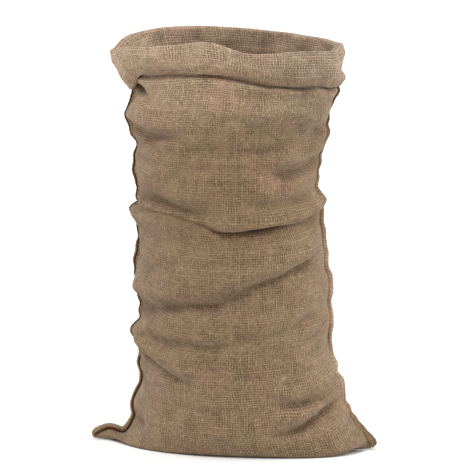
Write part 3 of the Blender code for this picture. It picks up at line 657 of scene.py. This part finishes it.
# Patterns on the flat cloth: spots a metre, detail and roughness.
PATTERNS = {
    "wander": (12.0, 2.0, 0.6),  # where the yarns stray sideways together
    "jostle": (75.0, 2.0, 0.6),  # where single yarns crowd and part
    "thick": (26.0, 2.0, 0.5),  # where the yarns are thick
    "warp": (21.0, 1.0, 0.5),  # where the warp stands out over the weft
    "open": (34.0, 3.0, 0.6),  # where the weave is open
    "fuzz": (330.0, 2.0, 0.7),
}
STRAYS = {"wander": 0.0040, "jostle": 0.0026}  # how far the yarns stray by each, in metres
PATCH_SPOTS = 17.0  # a metre, of the patches that lie over the whole sack
UNEVEN_SPOTS, SLUB_SPOTS = 0.83, 1.37  # in spots a pitch, and spots a slub's length
# The height of the warp, then of the weft: the least, what it gains where the warp leads, and how far it
# swings up and down as the yarns pass over and under.
YARN_HEIGHTS = ((0.52, 0.42, 0.20), (0.86, -0.42, -0.20))
# Of half a yarn's width: the least, and what the thick places and the single yarns' unevenness add to it.
HALF_LEAST, HALF_THICK, HALF_UNEVEN = 0.50 * YARN_HALF, 0.60 * YARN_HALF, 0.50 * YARN_HALF
OWN_TONE = 0.12  # share of a yarn's tone that is its own all along, where the rest is its slubs'
TONE_PLACES = (0.31, 0.50, 0.69)  # of the darkest, the usual and the lightest yarn's colour
CLOTH_TONES = ("#82674D", "#BD9E82", "#E2C7A9")
# The gaps' colour is painted shade: the dark seen through the weave and between the yarns.
CLOTH_GAP_SHADE = "#40301F"
PATCH_PINK = "#C29F8A"
PATCH_OLIVE = "#AFA07D"
PATCH_SHARE = 0.34
# What the patterns' values are turned to: a patch's share of olive, how far the gaps are filled where the
# weave is open, where a yarn's height hides the gap's dark, and how much lighter or darker the fuzz is.
PATCH_RANGE = {"From Min": 0.35, "From Max": 0.65}
OPEN_RANGE = {"From Min": 0.36, "From Max": 0.68, "To Min": 0.64, "To Max": 0.05}
HEIGHT_RANGE = {"From Min": 0.02, "From Max": 0.62}
FUZZ_RANGE = {"From Min": 0.25, "From Max": 0.75, "To Min": 0.74, "To Max": 1.26}
# The cloth is paler towards the mouth, partly where light has bleached it and partly as painted light from
# above on the upper body and the cuff, and the cuff's lower edge is darkened all round by painted shade
# under its roll: shares of the way up the panel, and what is kept there of the yarns' colours.
BLEACH_AND_PAINTED_LIGHT_ROWS = (
    (0.000, "#C6C2BA"),
    (0.220, "#C4BFB5"),
    (0.340, "#BDB8AC"),
    (0.480, "#C0BBB1"),
    (0.600, "#BDB7AA"),
    (0.740, "#C1BCB2"),
    (0.785, "#E2E0DA"),
    (0.920, "#F2F5F8"),
    (0.955, "#ECEDEE"),
    (0.980, "#D8D6D2"),
)
# Towards the right corner the cuff and the cloth below it are darkened by painted shade, and the foot
# there is darker too: how much darker each is there, and the shares of the way up the panel between
# which that begins or runs out.
PAINTED_SHADE_SHARE, PAINTED_SHADE_FROM, PAINTED_SHADE_FULL = 0.30, 0.68, 0.78
FOOT_SHARE, FOOT_FULL, FOOT_END = 0.15, 0.08, 0.18
PAINTED_SHADE_PLACE = 0.82  # of the greyest part, in panel widths
PAINTED_SHADE_POWER = 10.0  # the higher, the narrower that part is


def woven(tree, flat, pattern):
    """The weave's height and tone: each yarn is a parabola across, and which lies over follows two sines."""
    place = flat
    for name, reach in STRAYS.items():
        stray = {0: pattern[name].node.outputs[1], 1: (0.5, 0.5, 0.5)}
        stray = add(tree, "VectorMath", stray, operation="SUBTRACT")
        place = add(tree, "VectorMath", {0: stray, 1: (2 * reach,) * 3, 2: place}, operation="MULTIPLY_ADD")
    pitches = (1 / WARP_PITCH, 1 / WEFT_PITCH, 0.0)
    yarns = add(tree, "VectorMath", {0: place, 1: pitches}, operation="MULTIPLY")
    across = add(tree, "SeparateXYZ", {0: yarns})
    up = across.node.outputs[1]
    sines = []
    for number in (across, up):
        turn = add(tree, "Math", {0: number, 1: np.pi}, operation="MULTIPLY")
        sines.append(add(tree, "Math", {0: turn}, operation="SINE"))
    over = add(tree, "Math", {0: sines[0], 1: sines[1]}, operation="MULTIPLY")
    half = {0: pattern["thick"], 1: HALF_THICK, 2: HALF_LEAST}
    half = add(tree, "Math", half, operation="MULTIPLY_ADD")
    uneven = add(tree, "TexNoise", {"Vector": yarns, "Scale": UNEVEN_SPOTS, "Detail": 2.0})
    half = add(tree, "Math", {0: uneven, 1: HALF_UNEVEN, 2: half}, operation="MULTIPLY_ADD")
    heights, tones = [], []
    for (number, other), (least, gain, swing) in zip(((across, up), (up, across)), YARN_HEIGHTS):
        body = add(tree, "Math", {0: pattern["warp"], 1: gain, 2: least}, operation="MULTIPLY_ADD")
        raised = add(tree, "Math", {0: over, 1: swing, 2: body}, operation="MULTIPLY_ADD")
        aside = add(tree, "Math", {0: number}, operation="FRACT")
        aside = add(tree, "Math", {0: aside, 1: 0.5}, operation="SUBTRACT")
        share = add(tree, "Math", {0: aside, 1: half}, operation="DIVIDE")
        share = add(tree, "Math", {0: share, 1: share}, operation="MULTIPLY")
        ridge = add(tree, "Math", {0: 1.0, 1: share}, operation="SUBTRACT", use_clamp=True)
        heights.append(add(tree, "Math", {0: ridge, 1: raised}, operation="MULTIPLY"))
        yarn = add(tree, "Math", {0: number}, operation="FLOOR")
        along = add(tree, "Math", {0: other, 1: WEFT_PITCH / SLUB_LENGTH}, operation="MULTIPLY")
        slub = add(tree, "TexNoise", {"Vector": add(tree, "CombineXYZ", {0: yarn, 1: along}),
                                      "Scale": SLUB_SPOTS, "Detail": 3.0, "Roughness": 0.65})
        own = add(tree, "TexWhiteNoise", {1: yarn}, noise_dimensions="1D")
        tones.append(add(tree, "Mix", {0: OWN_TONE, 2: slub, 3: own}, data_type="FLOAT"))
    height = add(tree, "Math", {0: heights[0], 1: heights[1]}, operation="MAXIMUM")
    on_top = add(tree, "Math", {0: heights[0], 1: heights[1]}, operation="GREATER_THAN")
    return height, add(tree, "Mix", {0: on_top, 2: tones[1], 3: tones[0]}, data_type="FLOAT")


def fill_ramp(ramp, rows):
    """Gives a colour ramp its stops, rows of place and hex colour from the lowest place to the highest."""
    stops = ramp.elements
    stops[0].position, stops[0].color = rows[0][0], linear(rows[0][1])
    stops[1].position, stops[1].color = rows[-1][0], linear(rows[-1][1])
    for place, colour in rows[1:-1]:
        stops.new(place).color = linear(colour)


def painted_shade(tree, across, share):
    """What the painted shade keeps: 1 less its darkening up the panel times a power of a raised cosine
    across.
    """
    turn = {0: across, 1: np.pi / FLAT_WIDTH, 2: -PAINTED_SHADE_PLACE * np.pi}
    near = add(tree, "Math", turn, operation="MULTIPLY_ADD")
    near = add(tree, "Math", {0: near}, operation="COSINE")
    near = add(tree, "Math", {0: near, 1: 0.5, 2: 0.5}, operation="MULTIPLY_ADD")
    near = add(tree, "Math", {0: near, 1: PAINTED_SHADE_POWER}, operation="POWER")
    at_cuff = add(tree, "MapRange", {0: share, 1: PAINTED_SHADE_FROM, 2: PAINTED_SHADE_FULL, 3: 0.0, 4: -PAINTED_SHADE_SHARE})
    at_foot = add(tree, "MapRange", {0: share, 1: FOOT_FULL, 2: FOOT_END, 3: -FOOT_SHARE, 4: 0.0})
    dark = add(tree, "Math", {0: at_cuff, 1: at_foot}, operation="ADD")
    return add(tree, "Math", {0: near, 1: dark, 2: 1.0}, operation="MULTIPLY_ADD")


def jute_hessian(name, tones, gap, kept_up, with_painted_shade=False):
    """Jute hessian: patchy yarns over gaps of painted shade, times fuzz and what is kept of the colour up
    the cloth.
    """
    made, tree = new_material(name)
    flat = add(tree, "UVMap", uv_map="cloth")
    pattern = {}
    for kind, (spots, detail, rough) in PATTERNS.items():
        pattern[kind] = add(tree, "TexNoise", {
            "Vector": flat, "Scale": spots, "Detail": detail, "Roughness": rough})
    height, tone = woven(tree, flat, pattern)
    yarns = add(tree, "ValToRGB", {0: tone})
    fill_ramp(yarns.node.color_ramp, list(zip(TONE_PLACES, tones)))
    object_place = add(tree, "TexCoord", out=3)
    patch = add(tree, "TexNoise", {"Vector": object_place, "Scale": PATCH_SPOTS, "Detail": 3.0})
    patch = add(tree, "MapRange", {0: patch, **PATCH_RANGE})
    pink, olive = linear(PATCH_PINK), linear(PATCH_OLIVE)
    tint = add(tree, "Mix", {0: patch, 6: pink, 7: olive}, data_type="RGBA", out=2)
    worn = add(tree, "Mix", {0: PATCH_SHARE, 6: yarns, 7: tint}, data_type="RGBA", out=2)
    # Painted shade: where the weave is open, towards each yarn's edges and where it passes under, the colour
    # fades into the gaps' dark.
    closed = add(tree, "MapRange", {0: pattern["open"], **OPEN_RANGE})
    closed = add(tree, "MapRange", {0: height, **HEIGHT_RANGE, "To Min": closed})
    cloth = add(tree, "Mix", {0: closed, 6: linear(gap), 7: worn}, data_type="RGBA", out=2)
    fuzz = add(tree, "MapRange", {0: pattern["fuzz"], **FUZZ_RANGE})
    cloth = add(tree, "VectorMath", {0: cloth, 3: fuzz}, operation="SCALE")
    at = add(tree, "SeparateXYZ", {0: flat})
    share = add(tree, "Math", {0: at.node.outputs[1], 1: 2 / FLAT_LENGTH}, operation="MULTIPLY")
    kept = add(tree, "ValToRGB", {0: share})
    fill_ramp(kept.node.color_ramp, kept_up)
    cloth = add(tree, "Mix", {0: 1.0, 6: cloth, 7: kept}, data_type="RGBA", blend_type="MULTIPLY", out=2)
    # Painted shade darkens the cuff and the cloth below it towards the right corner; the foot there is
    # darker too.
    if with_painted_shade:
        cloth = add(tree, "VectorMath", {0: cloth, 3: painted_shade(tree, at, share)}, operation="SCALE")
    relief = add(tree, "Bump", {"Height": height, "Distance": 0.0010, "Strength": 0.7})
    surface = add(tree, "BsdfPrincipled", {
        "Base Color": cloth, "Roughness": 0.92, "Specular IOR Level": 0.15, "Normal": relief,
        "Sheen Weight": 0.10, "Sheen Roughness": 0.6})
    add(tree, "OutputMaterial", {"Surface": surface})
    return made


def grid_faces(rows, columns):
    """The faces of a grid of points: each joins a point, the next along its row, and the two above them."""
    number = np.arange(rows * columns).reshape(rows, columns)
    corners = [number[:-1, :-1], number[:-1, 1:], number[1:, 1:], number[1:, :-1]]
    return np.stack(corners, axis=-1).reshape(-1, 4).tolist()


hessian = jute_hessian("undyed_jute_hessian", CLOTH_TONES, CLOTH_GAP_SHADE, BLEACH_AND_PAINTED_LIGHT_ROWS, with_painted_shade=True)
for name, first in (("front_panel", 0), ("back_panel", COLUMNS)):
    rows, up_panel = (np.roll(grid, -first, axis=1)[:, :COLUMNS + 1] for grid in (sack_rows, up_cloth))
    across_panel = np.linspace(0.0, FLAT_WIDTH, COLUMNS + 1) + FLAT_WIDTH * first / COLUMNS
    places = np.stack([np.broadcast_to(across_panel, up_panel.shape), up_panel], axis=-1)
    panel = mesh_object(name, rows, grid_faces(*rows.shape[:2]), hessian, places)
    thick = panel.modifiers.new("Cloth thickness", "SOLIDIFY")
    thick.thickness = CLOTH
    thick.offset = 0.0
    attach(panel, "root")
    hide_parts("sack_cloth")

# Side seams
# Both layers of cloth are turned over together and left outside as a soft ridge 9 mm wide. The left ridge
# rolls to the back above the ear. The right one leans now to the front and now to the back, and is slimmer
# and darker in its upper half.
SEAM_WIDTH = 0.009
SEAM_THICKNESS = 0.0045
SEAM_UNDER_CUFF = 0.032  # how far a ridge runs on up behind the cuff
STITCH_PITCH = 0.009
SEAM_STEP = 0.0015  # between the ridge's sections
SEAM_SIDES = 12
PINCH = 0.08  # share of the ridge's width that a stitch draws in
SEAM_SUNK = 0.003  # how far the ridge's root lies inside the seam
BLUNT_END = 0.005  # over which a ridge of full width closes at its end
END_WIDTH = 0.4  # share of its width that is left at the very end
END_LEAST = 0.02  # how near to the very end the last section is taken, in shares of BLUNT_END
THIN_POWER = 0.7  # power of its width's share that a ridge's thickness follows
ACROSS_POWER, THROUGH_POWER = 0.6, 0.8  # below 1 they square off a ridge's oval section
STEADY_ROWS = 21  # of the fine wall, over which a seam's directions are averaged
# The hems are the same hessian, doubled, so that its gaps' painted shade looks paler: brown on the left,
# much paler on the right.
SEAM_TONES = {"left": ("#7C664F", "#9C846A", "#B8A286"), "right": ("#AE927A", "#D8BEA2", "#EEDCC4")}
SEAM_GAP_SHADE = "#84694C"
# What is kept of those tones up each seam, in the same shares of the way up as the cloth's colours: the
# right one is darker at the ear and again in its upper half.
SEAM_TONES_UP = {
    "left": ((0.00, "#F0EEEA"), (0.20, "#FFFFFF")),
    "right": ((0.00, "#9E937F"), (0.035, "#B0A592"), (0.11, "#C6BBAC"), (0.17, "#FFFFFF"),
              (0.45, "#F4EFE8"), (0.50, "#C3B8A8"), (0.56, "#A79A88"), (0.66, "#9A8C79"),
              (0.80, "#85765F")),
}
# How far each ridge leans, in degrees: 0 stands straight out, above 0 leans to the front and below to the
# back. Then how wide each is, in shares of SEAM_WIDTH: both are thick at the ear, and the right one, which
# ends there in a blunt knob, grows slim towards the cuff.
LEAN_NAMES = ("height", "left", "right", "left_wide", "right_wide")
LEAN_ROWS = (
    (0.000, 20, 10, 0.70, 1.50),
    (0.012, 15, 10, 1.45, 1.80),
    (0.022, 10, 0, 1.35, 1.60),
    (0.034, 5, -10, 1.15, 1.00),
    (0.060, 0, -25, 0.95, 0.80),
    (0.150, 0, -25, 0.90, 0.80),
    (0.190, 0, 0, 0.90, 0.85),
    (0.225, -40, 30, 1.00, 0.90),
    (0.250, -80, 30, 1.00, 1.00),
    (0.275, -88, 30, 1.00, 1.00),
    (0.300, -60, 28, 1.00, 1.00),
    (0.335, -75, 25, 1.00, 1.00),
    (0.370, -40, 25, 1.00, 1.00),
    (0.440, -40, 25, 1.00, 1.00),
    (0.490, -75, 20, 1.00, 1.00),
    (0.530, -60, -20, 1.00, 0.90),
    (0.560, -40, -62, 1.00, 0.80),
    (0.610, -40, -66, 1.00, 0.75),
    (0.655, -75, -45, 1.00, 0.70),
    (0.690, -50, 20, 1.00, 0.60),
    (0.735, -60, 45, 1.00, 0.60),
    (0.755, -85, 55, 0.80, 0.60),
    (0.800, -85, 55, 0.80, 0.60),
)


def ridge_half(wide):
    """Half a ridge's thickness: half of SEAM_THICKNESS times a power of its width's share."""
    return SEAM_THICKNESS / 2 * wide ** THIN_POWER


def seam_route(side):
    """A side seam up the wall: its points, the ridge's two directions turned by its lean, and its width."""
    column = {"left": 0, "right": COLUMNS}[side]
    corner = column / COLUMNS
    top = MOUTH_HEIGHT * at_mouth("rim", corner) - CUFF_DROP * at_mouth("drop", corner) + SEAM_UNDER_CUFF
    points = wall[:, column]
    along = unit(averaged(np.gradient(points, axis=0), STEADY_ROWS))
    across = unit(averaged(wall[:, column + 1] - wall[:, column - 1], STEADY_ROWS))
    out = unit(averaged(np.cross(across, along), STEADY_ROWS))
    front = np.cross(out, along)
    front *= np.where(front[:, 1:2] > 0, -1.0, 1.0)
    lean = table(LEAN_NAMES, LEAN_ROWS)
    angle = np.radians(smooth(points[:, 2], lean["height"], lean[side]))[:, None]
    wide = smooth(points[:, 2], lean["height"], lean[side + "_wide"])
    root = CLOTH / 2 + ridge_half(wide[:, None]) * np.abs(np.sin(angle))
    route = {
        "run": summed(np.linalg.norm(np.diff(points, axis=0), axis=1)),
        "point": points + root * out,
        "away": np.cos(angle) * out + np.sin(angle) * front,
        "face": np.cos(angle) * front - np.sin(angle) * out,
        "wide": wide,
    }
    return {name: values[points[:, 2] < top] for name, values in route.items()}


def carried(route, run, away, face):
    """Points beside a seam: its point at each run, plus away along the ridge and face out of its front."""
    point, outward, forward = (
        np.stack([np.interp(run, route["run"], values) for values in route[name].T], axis=-1)
        for name in ("point", "away", "face"))
    return point + np.asarray(away)[..., None] * outward + np.asarray(face)[..., None] * forward


def tube_faces(count, stations, sides):
    """The faces of count tubes, each a row of closed rings, with one face over each end."""
    number = np.arange(count * stations * sides).reshape(count, stations, sides)
    after = np.roll(number, -1, axis=2)
    walls = np.stack([number[:, :-1], after[:, :-1], after[:, 1:], number[:, 1:]], axis=-1).reshape(-1, 4)
    return walls.tolist() + number[:, 0, ::-1].tolist() + number[:, -1].tolist()


def pinched(run):
    """How full the ridge is: full between two stitches, drawn in at each as the root of a sine's size."""
    return 1 - PINCH * (1 - np.sqrt(np.abs(np.sin(np.pi * run / STITCH_PITCH))))


def signed_power(value, power):
    """The size of a sine or cosine to a power, with its own sign."""
    return np.sign(value) * np.abs(value) ** power


def ridge_ring(route, run, length, angle):
    """Away and face of a ridge's round section: a squared ellipse from the seam out, blunt at both ends."""
    wide = np.interp(run, route["run"], route["wide"])
    from_end = np.minimum(run, length - run) / (BLUNT_END * wide)
    end = np.sqrt(1 - (1 - np.clip(from_end, END_LEAST, 1)) ** 2)
    width = SEAM_SUNK + SEAM_WIDTH * wide * pinched(run) * (END_WIDTH + (1 - END_WIDTH) * end)
    away = width / 2 * (1 + signed_power(np.cos(angle), ACROSS_POWER) * end) - SEAM_SUNK
    return away, ridge_half(wide) * pinched(run) * end * signed_power(np.sin(angle), THROUGH_POWER)


routes = {side: seam_route(side) for side in ("left", "right")}
for side, route in routes.items():
    length = route["run"][-1]
    run = np.linspace(0.0, length, int(length / SEAM_STEP) + 1)[:, None]
    turn = np.arange(SEAM_SIDES)[None, :] / SEAM_SIDES
    away, face = ridge_ring(route, run, length, -2 * np.pi * turn)
    hoops = carried(route, np.broadcast_to(run, away.shape), away, face)
    girth = 2 * (SEAM_WIDTH + SEAM_THICKNESS) * turn
    places = np.stack(np.broadcast_arrays(girth, run), axis=-1)
    hem = jute_hessian(side + "_jute_hem", SEAM_TONES[side], SEAM_GAP_SHADE, SEAM_TONES_UP[side])
    ridge = mesh_object(side + "_seam_ridge", hoops, tube_faces(1, *hoops.shape[:2]), hem, places)
    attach(ridge, "root")
    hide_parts(side + "_side_seam")

# Sewing twine
# Dark brown twisted jute twine. It runs along the foot of each ridge, unbroken on the left and in short
# stitches on the right, where it is worn paler and redder. Another length whips over the left ridge's edge
# every 9 mm, above the ear.
# The twine is drawn wider than the real one, so that its dark also stands in for the shade in the gutter
# beside the ridge: partly painted shade.
TWINE_WIDTH = 0.0046
TWINE_SIDES, WHIP_SIDES = 6, 4
TWINE_PROUD = 0.1  # how far the twine's middle stands off the ridge's front, in its widths
# At the ear the left twine is thicker by this share: below this height, eased in over this much.
EAR_THICKER, EAR_BELOW, EAR_OVER = 0.12, 0.22, 0.04
STITCH_ON = 0.42  # share of the right seam's pitch over which a stitch shows
STITCH_RINGS = 7
STITCH_WIDTH = 0.36  # of a stitch on the right seam, in shares of TWINE_WIDTH
STITCH_SWELL = (0.08, 0.92)  # half turns of the sine by which such a stitch thickens and thins
WHIP_WIDTH = 0.0012
WHIP_RINGS = 9
WHIP_FROM = 0.235  # height over the floor above which the ridge is whipped
WHIP_TURN = 0.82  # half turns round the ridge from its edge to either end of a stitch
WHIP_START, WHIP_SLANT = 0.9, 0.2  # where in a pitch a stitch starts, and how far on it ends
WHIP_PROUD = 0.4  # how far a stitch stands over the ridge's edge, in its widths
WHIP_LENGTH = 0.02  # of one stitch, along which its twist is drawn
TWIST_LENGTH = 0.008
TWINE_PLIES = 2  # yarns twisted together, each a band of light
TWINE_COLOURS = {"left": ("dark_twisted_twine", "#2E1D0E", "#6A4A2A"),
                 "right": ("worn_twisted_twine", "#6B4930", "#A07C58")}
TWINE_SPOTS = 420.0  # of its roughness, in a metre
BAND_SHARE = 0.25  # how much the bands add to the roughness
TWINE_RANGE = {"From Min": 0.25, "From Max": 0.85}  # of the two together, from dark to light


def twisted_twine(name, dark, light):
    """Twisted jute twine: slanting bands of painted light and shade, from the share round it plus the run
    along.
    """
    made, tree = new_material(name)
    place = add(tree, "SeparateXYZ", {0: add(tree, "UVMap", uv_map="cloth")})
    along = place.node.outputs[1]
    # The twist's bands are painted light and shade: each ply lighter on its crown and darker where it meets
    # the next.
    twist = add(tree, "Math", {0: along, 1: 1 / TWIST_LENGTH, 2: place}, operation="MULTIPLY_ADD")
    twist = add(tree, "Math", {0: twist, 1: 2 * np.pi * TWINE_PLIES}, operation="MULTIPLY")
    bands = add(tree, "Math", {0: twist}, operation="SINE")
    object_place = add(tree, "TexCoord", out=3)
    rough = add(tree, "TexNoise", {"Vector": object_place, "Scale": TWINE_SPOTS, "Detail": 2.0})
    mixed = add(tree, "Math", {0: bands, 1: BAND_SHARE, 2: rough}, operation="MULTIPLY_ADD")
    shade = add(tree, "MapRange", {0: mixed, **TWINE_RANGE})
    colour = add(tree, "Mix", {0: shade, 6: linear(dark), 7: linear(light)}, data_type="RGBA", out=2)
    relief = add(tree, "Bump", {"Height": mixed, "Distance": 0.0006, "Strength": 0.8})
    surface = add(tree, "BsdfPrincipled", {
        "Base Color": colour, "Roughness": 0.8, "Specular IOR Level": 0.2, "Normal": relief})
    add(tree, "OutputMaterial", {"Surface": surface})
    return made


def twine_rings(centres, width, sides, lead):
    """Rings of points round lines of centres, square to each line, a ring's first point towards lead."""
    along = unit(np.gradient(centres, axis=-2))
    first = unit(lead - np.sum(lead * along, axis=-1, keepdims=True) * along)
    second = np.cross(along, first)
    angle = 2 * np.pi * np.arange(sides) / sides
    around_it = np.cos(angle)[:, None] * first[..., None, :] + np.sin(angle)[:, None] * second[..., None, :]
    return centres[..., None, :] + np.asarray(width)[..., None, None] / 2 * around_it


def twine_piece(name, side, finish, hoops, along):
    """One piece of a seam's twine from its hoops, with the share round it and the run along it as UV map."""
    sides = hoops.shape[2]
    places = np.stack(np.broadcast_arrays(np.arange(sides) / sides, along[..., None]), axis=-1)
    piece = mesh_object(name, hoops, tube_faces(*hoops.shape[:3]), finish, places)
    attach(piece, "root")
    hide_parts(side + "_seam_twine")


for side, route in routes.items():
    finish = twisted_twine(*TWINE_COLOURS[side])
    length = route["run"][-1]
    if side == "left":
        run = np.linspace(BLUNT_END, length, int(length / SEAM_STEP))[None, :]
        height = np.interp(run, route["run"], route["point"][:, 2])
        width = TWINE_WIDTH * (1 + EAR_THICKER * ease((EAR_BELOW - height) / EAR_OVER))
    else:
        starts = np.arange(BLUNT_END, length - STITCH_PITCH, STITCH_PITCH)
        run = starts[:, None] + np.linspace(0.0, STITCH_ON * STITCH_PITCH, STITCH_RINGS)[None, :]
        width = STITCH_WIDTH * TWINE_WIDTH * np.sin(np.pi * np.linspace(*STITCH_SWELL, STITCH_RINGS))
    wide = np.interp(run, route["run"], route["wide"])
    forward = ridge_half(wide) * pinched(run) + TWINE_PROUD * TWINE_WIDTH
    centres = carried(route, run, TWINE_WIDTH / 2, forward)
    lead = carried(route, run, TWINE_WIDTH / 2, forward + 1.0) - centres
    hoops = twine_rings(centres, width, TWINE_SIDES, lead)
    twine_piece(side + "_running_twine", side, finish, hoops, run)
    if side == "left":
        whipped_from = np.interp(WHIP_FROM, route["point"][:, 2], route["run"])
        starts = np.arange(whipped_from, length - STITCH_PITCH, STITCH_PITCH)[:, None]
        share = np.linspace(0.0, 1.0, WHIP_RINGS)[None, :]
        angle = np.pi * WHIP_TURN * (1 - 2 * share)
        run = starts + STITCH_PITCH * (WHIP_START + WHIP_SLANT * share)
        away, face = ridge_ring(route, run, np.inf, angle)
        over_face = face * (1 + WHIP_WIDTH / SEAM_THICKNESS)
        centres = carried(route, run, away + WHIP_PROUD * WHIP_WIDTH * np.cos(angle), over_face)
        lead = carried(route, run, SEAM_WIDTH / 2, 0.0) - centres
        hoops = twine_rings(centres, WHIP_WIDTH, WHIP_SIDES, lead)
        twine_piece("left_whip_stitches", side, finish, hoops, starts + WHIP_LENGTH * share)

# Loose fibres
# Jute is hairy: single pale fibres stand away from the yarns all over the cloth, more of them at the rim and
# the folds, where the cloth's rows lie closer. Each one here is a short bent hair.
FIBRE_COUNT = 420
FIBRE_LENGTH = (0.006, 0.022)
FIBRE_WIDTH = 0.0004
FIBRE_TAPER = 0.7  # share of its width that a fibre loses towards its tip
FIBRE_RINGS, FIBRE_SIDES = 5, 3
FIBRE_RISE = (0.15, 0.6)  # how far it stands off the cloth, in shares of its length
FIBRE_CURL = (-0.5, 0.5)  # how far it bends aside
FIBRE_ARC = 0.75  # half turns of the sine by which it rises and sinks again
FIBRE_COLOUR = "#CDB595"
BARE_ROWS = (20, 12)  # rows of the cloth without fibres, at the bottom fold and at the hem turned under
FLOOR_CLEAR = 0.001  # least height of a fibre's middle
FIBRE_SEED = 21

draw = np.random.default_rng(FIBRE_SEED)
row = draw.integers(BARE_ROWS[0], len(sack_rows) - BARE_ROWS[1], FIBRE_COUNT)
column = draw.integers(0, 2 * COLUMNS, FIBRE_COUNT)
root = sack_rows[row, column]
along_row = sack_rows[row, (column + 1) % (2 * COLUMNS)] - sack_rows[row, column - 1]
along_column = sack_rows[row + 1, column] - sack_rows[row - 1, column]
out = unit(np.cross(along_row, along_column))
lie = unit(draw.normal(size=(FIBRE_COUNT, 3)))
lie = unit(lie - np.sum(lie * out, axis=1, keepdims=True) * out)[:, None, :]
length, rise, curl = (draw.uniform(*limits, FIBRE_COUNT)[:, None, None]
                      for limits in (FIBRE_LENGTH, FIBRE_RISE, FIBRE_CURL))
root, out = root[:, None, :], out[:, None, :]
share = np.linspace(0.0, 1.0, FIBRE_RINGS)[None, :, None]
bent = rise * np.sin(FIBRE_ARC * np.pi * share) * out + curl * share ** 2 * np.cross(lie, out)
centres = root + out * CLOTH / 2 + length * (share * lie + bent)
centres[..., 2] = np.maximum(centres[..., 2], FLOOR_CLEAR)
hoops = twine_rings(centres, FIBRE_WIDTH * (1 - FIBRE_TAPER * share[..., 0]), FIBRE_SIDES, out)
# Single jute fibres, pale straw brown, with the soft shine of a split stalk.
straw = plain_material("pale_jute_fibre", FIBRE_COLOUR, rough=0.7, shine=0.3)
fibres = mesh_object("loose_fibres", hoops, tube_faces(*hoops.shape[:3]), straw)
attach(fibres, "root")
